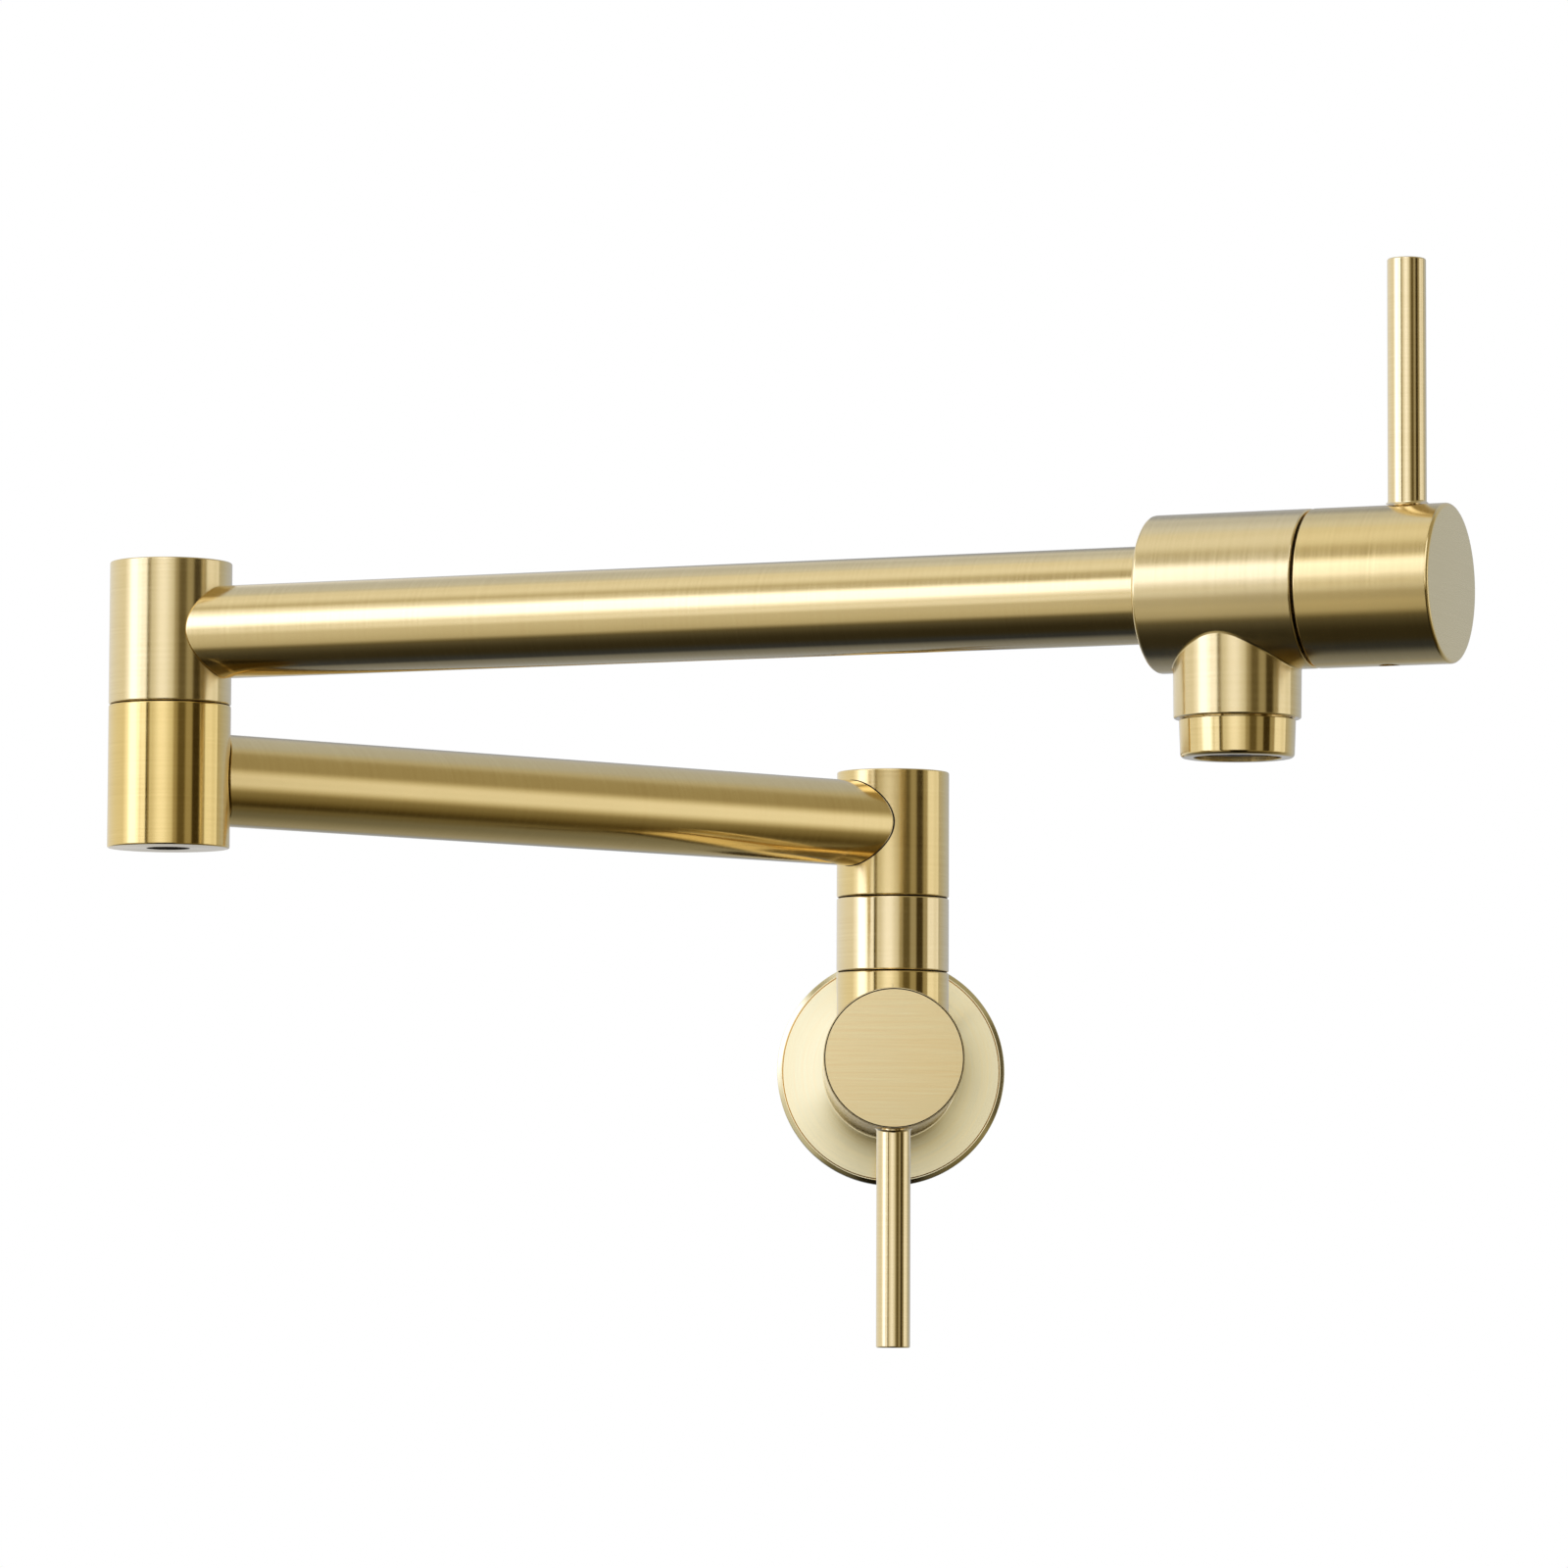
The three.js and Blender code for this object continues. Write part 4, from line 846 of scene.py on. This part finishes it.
golden(
    "wall_flange_plate", flange(), WALL_VALVE, "wall_valve", "wall_flange", tone="lathed",
    looks={INSIDE: metal("gold_pale", "z")}, coarse_part=0.7, bump=2.0,
)
plain("wall_flange_gasket", gasket(), WALL_VALVE, "wall_valve", "flange_gasket", "foam")
plain("wall_inlet_nipple", threaded_nipple(), WALL_VALVE, "wall_valve", "inlet_nipple", "plain_brass")

# ---- valve bodies


def valve_way(back, radius, floor):
    """Cutter for the way through a valve body, from its back to its headwork thread. The bore that it
    leaves is painted dark as shade.
    """
    nose = HEADWORK_NOSE_RADIUS + 3 * SEAT_GAP
    thread = HEADWORK_THREAD_RADIUS + SEAT_GAP
    steps = ((radius, floor), (WATERWAY_RADIUS, -SEAT_DEPTH))
    steps += ((nose, thread_low - SEAT_GAP), (thread, body_front + THROUGH))
    return turned(stepped(back - THROUGH, *steps), INSIDE)


def branch_way(radius, step, end_radius, end):
    """Cutter for the way from the valve's middle out through its branch."""
    return turned(stepped(0, (radius, step), (end_radius, end + THROUGH)), BRANCH, ON_BRANCH)


def wall_body():
    low, high = [flange_ring_height + way * RING_GROOVE_WIDTH / 2 for way in (-1, 1)]
    groove = VALVE_RADIUS - RING_GROOVE_DEPTH
    barrel = turned([
        (0, hub_back), (VALVE_RADIUS, hub_back, EDGE), (VALVE_RADIUS, low), (groove, low),
        (groove, high), (VALVE_RADIUS, high), (VALVE_RADIUS, body_front, EDGE), (0, body_front),
    ])
    neck_outline = [
        (0, 0), (KNUCKLE_RADIUS, 0), (KNUCKLE_RADIUS, neck_top, EDGE),
        (neck_stub_radius, neck_top), (neck_stub_radius, neck_stub_top, EDGE), (0, neck_stub_top),
    ]
    neck = turned(neck_outline, BRANCH, ON_BRANCH)
    whole = join(barrel, neck, saddle(VALVE_RADIUS, KNUCKLE_RADIUS, ON_BRANCH))
    # The neck's top face and its stub, under the nut, are painted dark as shade.
    mark(whole, INSIDE, lambda centre, normal: -centre.x > neck_top - NEAR)
    inlet = valve_way(hub_back, INLET_THREAD_RADIUS + SEAT_GAP, inlet_floor)
    post_floor = neck_post_bottom - SEAT_GAP
    return cut(whole, inlet, branch_way(WATERWAY_RADIUS, post_floor, post_bore, neck_stub_top))


def outlet_body():
    barrel = rod(VALVE_RADIUS, -VALVE_BACK, body_front, BACK_EDGE, EDGE)
    spout_outline = [
        (0, 0), (SPOUT_TOP_RADIUS, 0), (SPOUT_END_RADIUS, spout_end, EDGE), (0, spout_end),
    ]
    spout = turned(spout_outline, BRANCH, ON_BRANCH)
    slope = (SPOUT_TOP_RADIUS - SPOUT_END_RADIUS) / spout_end
    at_barrel = SPOUT_TOP_RADIUS - slope * sqrt(VALVE_RADIUS**2 - SPOUT_TOP_RADIUS**2)
    whole = join(barrel, spout, saddle(VALVE_RADIUS, at_barrel, ON_BRANCH))
    socket = valve_way(-VALVE_BACK, TUBE_RADIUS + SEAT_GAP, tube_socket_floor)
    gasket_floor, thread = gasket_low - SEAT_GAP, AERATOR_THREAD_RADIUS + SEAT_GAP
    return cut(whole, socket, branch_way(SPOUT_BORE_RADIUS, gasket_floor, thread, spout_end))


golden("wall_body_barrel", wall_body(), WALL_VALVE, "wall_valve", "wall_valve_body")
golden("outlet_body_barrel", outlet_body(), OUTLET_VALVE, "outer_arm", "outlet_valve_body", "soft")

# ---- handles


def cap(lined):
    """Cup with a slightly crowned face, whose edge has a fine groove painted dark as shade, or is
    rounded.
    """
    flat = VALVE_RADIUS - (CAP_LINE_INSET if lined else CAP_ROUND)
    edge = [(VALVE_RADIUS, cap_rim, CAP_ROUND), (flat, cap_rim)]
    if lined:
        edge = [(VALVE_RADIUS, cap_rim, FINE_ROUND), *fine_groove(flat, cap_rim)]
    parts = np.linspace(CROWN_START, 0, CROWN_STEPS)
    crown = [(flat * part, cap_front - CAP_CROWN * part**2) for part in parts]
    spline = SPLINE_RADIUS + SEAT_GAP
    cup = turned([
        (cap_bore, cap_back), (VALVE_RADIUS, cap_back, EDGE), *edge, *crown,
        (0, spline_high + SEAT_GAP), (spline, spline_high + SEAT_GAP), (spline, cap_floor),
        (cap_bore, cap_floor),
    ])
    mark(cup, FACE, lambda centre, normal: centre.z > cap_rim and normal.z > LEVEL)
    if lined:
        darken_groove(cup, flat, cap_rim)
    hole = {"high": VALVE_RADIUS + THROUGH, "grain": FREE, "sides": HOLE_SIDES}
    tenon_floor = VALVE_RADIUS - LEVER_TENON_LENGTH - SEAT_GAP
    tenon_hole = rod(LEVER_TENON_RADIUS + SEAT_GAP, tenon_floor, about=ON_LEVER, **hole)
    grub_hole = rod(GRUB_RADIUS + SEAT_GAP, SPLINE_RADIUS, about=ON_GRUB, **hole)
    return cut(cup, tenon_hole, grub_hole)


def lever():
    """Round bar on a coped and slightly flared foot, with its tenon."""
    foot = VALVE_RADIUS + SEAT_GAP
    wide = LEVER_RADIUS + SADDLE_FLARE
    tenon_low, tip = VALVE_RADIUS - LEVER_TENON_LENGTH, VALVE_RADIUS + LEVER_LENGTH
    rows = [(0, tenon_low), (LEVER_TENON_RADIUS, tenon_low)]
    for radius in np.linspace(LEVER_TENON_RADIUS, wide, ROUND_STEPS):
        rows.append((radius, reach_of(foot, radius, SMALL_SIDES), FREE))
    curve = foot_curve(
        foot, LEVER_RADIUS, SADDLE_FLARE, FLARE_STEPS, lift=LEVER_FOOT_EDGE, sides=SMALL_SIDES
    )
    rows += [(*row, FREE) for row in curve[1:-1]] + curve[-1:]
    for turn in np.linspace(0, pi / 2, ROUND_STEPS + 1):
        radius = LEVER_RADIUS - EDGE * (1 - cos(turn))
        rows.append((radius, tip - EDGE * (1 - sin(turn))))
    return skin([*rows, (0, tip)], MAIN, sides=SMALL_SIDES)


def grub():
    low = SPLINE_RADIUS + SEAT_GAP
    high = low + GRUB_LENGTH
    screw = rod(GRUB_RADIUS, low, high, GRUB_ROUND, GRUB_ROUND, sides=GRUB_SIDES)
    socket = prism(polygon(GRUB_SOCKET_RADIUS, 6), high - GRUB_SOCKET_DEPTH, high + THROUGH)
    return cut(screw, socket)


for side, valve, tone, face in (
    ("wall", WALL_VALVE, "mid", metal("gold_face", "lines", coarse_part=0.6, density=1.2)),
    ("outlet", OUTLET_VALVE, "satin", metal("gold_calm", "lines")),
):
    body = f"{side}_handle"
    cup = cap(lined=side == "wall")
    golden(f"{side}_cap_cup", cup, valve, body, f"{side}_handle_cap", tone, {FACE: face})
    golden(f"{side}_lever_bar", lever(), valve @ ON_LEVER, body, f"{side}_lever", tone="pale")
    plain(f"{side}_grub_point", grub(), valve @ ON_GRUB, body, f"{side}_grub_screw", "steel")

# ---- nut, knuckles and tubes


def nut():
    recess, room = wall_knuckle_bottom - washer_room, washer_outer + SEAT_GAP
    solid = turned([
        (nut_thread, nut_bottom), (KNUCKLE_RADIUS, nut_bottom, EDGE),
        (KNUCKLE_RADIUS, nut_top, EDGE), (room, nut_top), (room, recess), (washer_inner, recess),
        (washer_inner, nut_web_bottom), (nut_thread, nut_web_bottom),
    ])
    # The nut's level faces, against its neighbours, are painted dark as shade.
    mark(solid, INSIDE, lambda centre, normal: abs(normal.z) > LEVEL)
    return solid


def knuckle(bottom, top, tube_height, inside, shaded_seam, grooved=False):
    """Turned barrel with the spigot that carries its tube, and a cutter's outline inside, whose faces
    are painted dark as shade. The face at the given joint height is painted dark as shade, and a fine
    groove, painted dark as the shade of the joint, can run round the end of the tube."""
    barrel = rod(KNUCKLE_RADIUS, bottom, top, EDGE, EDGE)
    mark(barrel, INSIDE, lambda centre, normal: abs(centre.z - shaded_seam) < NEAR)
    end = KNUCKLE_RADIUS + SPIGOT_LENGTH
    pipe = {"grain": FREE, "about": sideways(tube_height), "sides": SMALL_SIDES}
    spigot = rod(spigot_radius, 0, end, high_round=EDGE, **pipe)
    cutters = [rod(tube_waterway, 0, end + THROUGH, **pipe), turned(inside, INSIDE)]
    if grooved:
        low, high = TUBE_RADIUS - COPE_LINE / 2, TUBE_RADIUS + COPE_LINE / 2
        rows = [(r, reach_of(KNUCKLE_RADIUS - COPE_LINE, r)) for r in (low, high)]
        rows += [(r, KNUCKLE_RADIUS + THROUGH) for r in (high, low)]
        cutters.append(skin(rows, INSIDE, sideways(tube_height)))
    return cut(join(barrel, spigot), *cutters)


def knuckle_on_post(bottom, top, tube_height, grooved=False):
    """Knuckle with a post's threaded socket in its underside and a chamber over it."""
    socket = (post_bore, bottom + POST_GRIP + SEAT_GAP)
    chamber = (POST_RADIUS - CHAMBER_STEP, tube_height + tube_waterway)
    inside = stepped(bottom - THROUGH, socket, chamber)
    return knuckle(bottom, top, tube_height, inside, bottom, grooved)


def knuckle_under_post():
    """The elbow's lower knuckle, with the post's bore, the screw's hole and its recess."""
    top = lower_knuckle_top
    recess, hole = (SCREW_RECESS_RADIUS, screw_ceiling), SCREW_RADIUS + SEAT_GAP
    bore = ((hole, elbow_post_bottom - SEAT_GAP), (post_bore, upper_knuckle_bottom - washer_room))
    washer = (washer_outer + SEAT_GAP, top + THROUGH)
    inside = stepped(elbow_bottom - THROUGH, recess, *bore, washer)
    return knuckle(elbow_bottom, top, INNER_TUBE_HEIGHT, inside, top)


def coped_end(distance, way, edge=FREE):
    """Rows of a tube's end that fits round a knuckle: way is 1 where the tube leaves it."""
    curve = foot_curve(KNUCKLE_RADIUS + COPE_GAP, TUBE_RADIUS, -COPE_ROUND, ROUND_STEPS)
    grains = [edge] + [FREE] * ROUND_STEPS
    return [(out, distance + way * up, grain) for (out, up), grain in zip(curve, grains)]


def arm_tube(length, far_knuckle):
    """Tube from a knuckle at the origin to another one, or to a plain end in a socket. Its inside is
    painted dark as shade, and at the wall's knuckle the edge of its end is painted dark as the shade
    of the joint."""
    near = coped_end(0, 1, INSIDE if far_knuckle else FREE)
    near[-1] = (*near[-1][:2], MAIN)
    inside_near = reach_of(KNUCKLE_RADIUS + COPE_GAP, tube_inside)
    if far_knuckle:
        far = coped_end(length, -1)[::-1]
        inside_far = length - inside_near
    else:
        far = [(TUBE_RADIUS, length - EDGE), (TUBE_RADIUS - EDGE, length, FREE)]
        inside_far = length
    inside = [(tube_inside, inside_far, INSIDE), (tube_inside, inside_near, INSIDE)]
    return skin([*near, *far, *inside], MAIN)


swivel_nut = nut()
wall_knuckle = knuckle_on_post(wall_knuckle_bottom, wall_knuckle_top, INNER_TUBE_HEIGHT, True)
lower_knuckle = knuckle_under_post()
upper_knuckle = knuckle_on_post(upper_knuckle_bottom, upper_knuckle_top, outer_tube_height)

for name, solid, place, body, node, tone in (
    ("neck_swivel_nut", swivel_nut, NECK, "wall_valve", "swivel_nut", "pale"),
    ("neck_knuckle_barrel", wall_knuckle, INNER_KNUCKLE, "inner_arm", "wall_knuckle", "satin"),
    ("elbow_lower_barrel", lower_knuckle, ELBOW_LOWER, "inner_arm", "elbow_lower_knuckle", "deep"),
    ("elbow_upper_barrel", upper_knuckle, ELBOW_UPPER, "outer_arm", "elbow_upper_knuckle", "soft"),
    ("inner_arm_tube", arm_tube(INNER_ARM_LENGTH, True), INNER_TUBE, "inner_arm", "inner_tube", "mid"),
    ("outer_arm_tube", arm_tube(outer_tube_end, False), OUTER_TUBE, "outer_arm", "outer_tube", "fair"),
):
    golden(name, solid, place, body, node, tone)

# ---- elbow screw


def elbow_screw():
    """Screw with a domed head and a hexagon socket."""
    low = screw_head_high - SCREW_HEAD_HEIGHT
    shank_top = elbow_post_bottom + SCREW_GRIP
    flat = SCREW_SOCKET_RADIUS + EDGE
    arc, steps = radians(60), 8
    rows = [(0, low)]
    for turn in np.linspace(0, arc, steps + 1):
        out = sin(turn) / sin(arc)
        up = (1 - cos(turn)) / (1 - cos(arc))
        rows.append((flat + (SCREW_HEAD_RADIUS - flat) * out, low + (SCREW_HEAD_HEIGHT - EDGE) * up))
    rows += [(SCREW_HEAD_RADIUS, screw_head_high), (SCREW_RADIUS, screw_head_high)]
    rows += [(SCREW_RADIUS, shank_top), (0, shank_top)]
    socket = prism(polygon(SCREW_SOCKET_RADIUS, 6), low - THROUGH, low + SCREW_SOCKET_DEPTH)
    return cut(skin(rows, MAIN, sides=SMALL_SIDES), socket)


def screw_washer():
    inner, outer = SCREW_RADIUS + SEAT_GAP, SCREW_RECESS_RADIUS - SEAT_GAP
    high = screw_washer_low + SCREW_WASHER_THICKNESS
    return ring(inner, outer, screw_washer_low, high, sides=SMALL_SIDES)


plain("elbow_screw_head", elbow_screw(), ELBOW, "outer_arm", "elbow_retaining_screw", "steel")
plain("elbow_screw_disc", screw_washer(), ELBOW, "outer_arm", "elbow_screw_washer", "steel")

# ---- aerator


def aerator_ring():
    skirt = AERATOR_RADIUS - AERATOR_TAPER
    lip, lip_top = aerator_inside - AERATOR_LIP, aerator_bottom - AERATOR_LIP
    return turned([
        (aerator_inside, aerator_top), (AERATOR_THREAD_RADIUS, aerator_top, EDGE),
        (AERATOR_THREAD_RADIUS, aerator_shoulder), (AERATOR_RADIUS, aerator_shoulder, TRIM_ROUND),
        (skirt, aerator_bottom, AERATOR_BOTTOM_ROUND), (lip, aerator_bottom, TRIM_ROUND),
        (lip, lip_top), (aerator_inside, lip_top),
    ])


def diffuser():
    """Disc with a circle of holes."""
    low, high = aerator_top - THROUGH, diffuser_high + THROUGH
    holes = []
    for x, y in polygon(insert_radius / 2, DIFFUSER_HOLES):
        hole = rod(DIFFUSER_HOLE_RADIUS, low, high, grain=FREE, sides=DIFFUSER_HOLE_SIDES)
        hole.data.transform(Matrix.Translation((x, y, 0)))
        holes.append(hole)
    return cut(rod(insert_radius, aerator_top, diffuser_high, sides=SMALL_SIDES), *holes)


def honeycomb(pitch, limit):
    """Centres of a honeycomb whose cells stay inside a circle."""
    rows = ceil(limit / pitch) + 1
    centres = []
    for row in range(-rows, rows + 1):
        for column in range(-2 * rows, 2 * rows + 1):
            x, y = pitch * (column + row / 2), pitch * row * sqrt(3) / 2
            if hypot(x, y) <= limit:
                centres.append((x, y))
    return centres


def grille():
    """Cup whose floor is a honeycomb that straightens the stream."""
    inside = insert_radius - GRILLE_SKIRT
    floor = insert_high - GRILLE_THICKNESS
    outline = [
        (0, floor), (inside, floor), (inside, insert_low), (insert_radius, insert_low),
        (insert_radius, insert_high, TRIM_ROUND), (0, insert_high),
    ]
    pitch = sqrt(3) * GRILLE_CELL_RADIUS + GRILLE_RIB
    cells = []
    for centre in honeycomb(pitch, inside - GRILLE_CELL_RADIUS - GRILLE_RIB):
        cell = polygon(GRILLE_CELL_RADIUS, 6, centre, pi / 6)
        cells.append(prism(cell, floor - THROUGH, insert_high + THROUGH))
    return cut(turned(outline, sides=SMALL_SIDES), *cells)


golden("aerator_ring", aerator_ring(), AERATOR, "outer_arm", "aerator_housing")
plain("aerator_diffuser_disc", diffuser(), AERATOR, "outer_arm", "aerator_diffuser", "grey_plastic")
plain("aerator_grille", grille(), AERATOR, "outer_arm", "aerator_insert", "grey_plastic")

# ---- CAD nodes that stay as they are

FINISH_OF = (
    (("o_ring", "_ring_1", "_ring_2", "_ring_3"), RUBBER),
    (("seat_seal", "inlet_washer", "aerator_gasket"), RUBBER),
    (("headwork", "stem", "post"), metal("plain_brass", "lines")),
    (("fixed_disc", "moving_disc"), CERAMIC),
    (("stem_clip",), metal("steel", "lines")),
    (("thrust_washer", "slip_washer"), SLIP_PLASTIC),
)

for name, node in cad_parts.items():
    for endings, finish in FINISH_OF:
        if name.endswith(endings) and not node.hide_render:
            node.data.materials.clear()
            node.data.materials.append(finish)

# ---- studio

FLOOR_HEIGHT = -0.25
FLOOR_SIZE = 6.0
FLOOR_TONE, WALL_TONE, LEAST_TONE = 0.03, 0.33, 0.01
PLAIN_LIGHT = 0.85  # what rays other than the camera's and a reflection's meet
GREEN_POWERS = (1.12, 0.92)  # of the level, in front and behind
BLUE_POWERS = (1.55, 0.75)
LAMP_PLACE, LAMP_AIM = Vector((-1.5, -1.3, 1.6)), Vector((0, -0.15, 0))
LAMP_SIZE = (1.6, 1.2)
LAMP_POWER = 14
# Soft-edged panels of the studio that the metal reflects: left, right, low and high in degrees,
# softness of the upright and of the level edges, and brightness on top of the wall's. Azimuth 0
# is towards the camera.
PANELS = [
    (-82.7, -56.2, -0.6, 41.3, 9.2, 7.9, 1.34),  # key softbox
    (-56.2, -40.2, 6.5, 33.4, 2, 7, 1.3),  # its slanted inner corner
    (-76, -56, -8, 6, 4, 5, 0.42),  # its brightest part
    (-62, -38.5, -40, 3, 1.2, 6, 0.34),  # below it
    (-174.8, -83.7, -20, 86, 5.1, 8.4, 0.45),  # pale wall on the left
    (-173.3, -116.8, 35, 67.1, 10.7, 11.9, -0.24),  # and its darker top
    (-83.7, -48, 49.6, 79.1, 7.2, 11, 0.52),  # ceiling over the key softbox
    (-49.3, -39.5, -10, 7, 0.8, 4, 0.3),  # light edge beside the dark frame
    (-39.5, -32.5, -22, 11, 1, 5, -0.4),  # dark frame of the softbox
    (-36.5, 12.4, -5, 60, 3, 5, 0.38),  # front
    (-20.7, 1.5, -5, 60, 9, 5, 0.36),  # and its brighter middle
    (-32, 15, 18, 60, 8, 8, 0.4),  # ceiling in front
    (-17, 17, -90, -13, 6, 6, -0.5),  # dark floor in front
    (49, 64.5, -20, 25, 2, 6.4, -0.29),  # dark screens on the right
    (20.5, 35.5, -20, 25, 3, 6.4, -0.22),
    (76, 107.6, -16.3, 15.1, 1.5, 10.3, 0.6),  # strip light on the right
    (92.9, 104.6, -10, 14, 2.7, 5.4, -0.1),  # and its dimmer side
    (106.5, 179.2, -54.8, 62, 6.9, 9.3, 0.14),  # back
    (91, 125.2, -53.3, -5, 7.9, 8.3, -0.07),  # and its floor
    (-180, -150, -60, -22, 6, 8, 0.12),
]


def band(s, value, low, high, soft):
    """1 between two values and 0 outside them, with soft ends."""
    rise = s.fade(value, low - soft, low + soft)
    return s.times(rise, s.fade(value, high - soft, high + soft, 1.0, 0.0))


def studio():
    world = bpy.data.worlds.new("studio")
    bpy.context.scene.world = world
    world.use_nodes = True
    s = Shader(world.node_tree)
    east, north, height = s.split(s.add("TexCoord", output="Generated"))
    degrees = 180 / pi
    azimuth = s.times(s.math("ARCTAN2", east, s.times(north, -1.0)), degrees)
    elevation = s.times(s.math("ARCSINE", height), degrees)
    level = s.fade(elevation, -67.0, -2.0, FLOOR_TONE, WALL_TONE)
    for left, right, low, high, side_soft, end_soft, strength in PANELS:
        across = band(s, azimuth, left, right, side_soft)
        shape = s.times(across, band(s, elevation, low, high, end_soft))
        level = s.plus(level, s.times(shape, strength))
    level = s.math("MAXIMUM", level, LEAST_TONE)
    right = s.fade(azimuth, 20.0, 60.0)
    floor_part = s.fade(elevation, -52.0, -30.0, 0.6, 0.0)
    plain_part = s.times(floor_part, s.math("SUBTRACT", 1.0, right))
    low_right = s.times(s.fade(elevation, -35.0, -10.0, 0.5, 0.0), right)
    behind = s.fade(s.math("ABSOLUTE", azimuth), 95.0, 140.0)
    cool_part = s.times(behind, s.math("SUBTRACT", 1.0, low_right))

    def warmed(front, back):
        """The level in one colour channel: dark parts of the room in front are warm, those behind
        are cool, and the floor on the left is nearly plain."""
        power = s.fade(cool_part, 0.0, 1.0, front, back, smooth=False)
        power = s.plus(power, s.times(plain_part, s.math("SUBTRACT", 1.0, power)))
        return s.math("POWER", level, power)

    channels = {"Red": level, "Green": warmed(*GREEN_POWERS), "Blue": warmed(*BLUE_POWERS)}
    colour = s.add("CombineColor", inputs=channels)
    seen, glossy = [s.add("LightPath", output=f"Is {ray} Ray") for ray in ("Camera", "Glossy")]

    def background(colour, strength):
        return s.add("Background", inputs={"Color": colour, "Strength": strength})

    def choice(test, other, chosen):
        return s.add("MixShader", inputs={0: test, 1: other, 2: chosen})

    white = (1, 1, 1, 1)
    lit = choice(glossy, background(white, PLAIN_LIGHT), background(colour, 1.0))
    s.end("OutputWorld", choice(seen, lit, background(white, 1.0)))


def soft_lamp():
    lamp = bpy.data.lights.new("soft_lamp", "AREA")
    lamp.shape, lamp.size, lamp.size_y = "RECTANGLE", *LAMP_SIZE
    lamp.energy = LAMP_POWER
    placed = add_object("soft_lamp", lamp)
    placed.location = LAMP_PLACE
    placed.rotation_mode = "QUATERNION"
    placed.rotation_quaternion = (LAMP_AIM - LAMP_PLACE).to_track_quat("-Z", "Y")
    placed.visible_glossy = False


def floor():
    half = FLOOR_SIZE / 2
    mesh = bpy.data.meshes.new("floor")
    corners = [(-half, -half, 0), (half, -half, 0), (half, half, 0), (-half, half, 0)]
    mesh.from_pydata(corners, [], [(0, 1, 2, 3)])
    ground = add_object("floor", mesh)
    ground.location.z = FLOOR_HEIGHT
    ground.visible_glossy = False
    paint = moulded("floor_paint", (0.9, 0.9, 0.9), (0.92, 0.92, 0.92), 0.9, 60.0, 0.05)
    mesh.materials.append(paint)


# ---- camera

CAMERA_PLACE = Vector((-16.419, -1853.778, -69.84)) * MM
CAMERA_YAW = radians(-0.375)
CAMERA_PITCH = radians(4.515)
CAMERA_ROLL = radians(0.23)
CAMERA_LENS = 160.67
SENSOR = 36
CLIP_START, CLIP_END = 0.1, 20


def camera():
    yaw = Matrix.Rotation(-CAMERA_YAW, 3, "Z")
    ahead = yaw @ Vector((0, cos(CAMERA_PITCH), sin(CAMERA_PITCH)))
    level = yaw @ X
    up = level.cross(ahead)
    right = level * cos(CAMERA_ROLL) + up * sin(CAMERA_ROLL)
    data = bpy.data.cameras.new("camera")
    data.lens, data.sensor_width = CAMERA_LENS, SENSOR
    data.clip_start, data.clip_end = CLIP_START, CLIP_END
    made = add_object("camera", data)
    made.matrix_world = Matrix.Translation(CAMERA_PLACE) @ axes_at((0, 0, 0), right, -ahead)
    bpy.context.scene.camera = made


studio()
soft_lamp()
floor()
camera()
bpy.context.scene.view_settings.view_transform = "Standard"
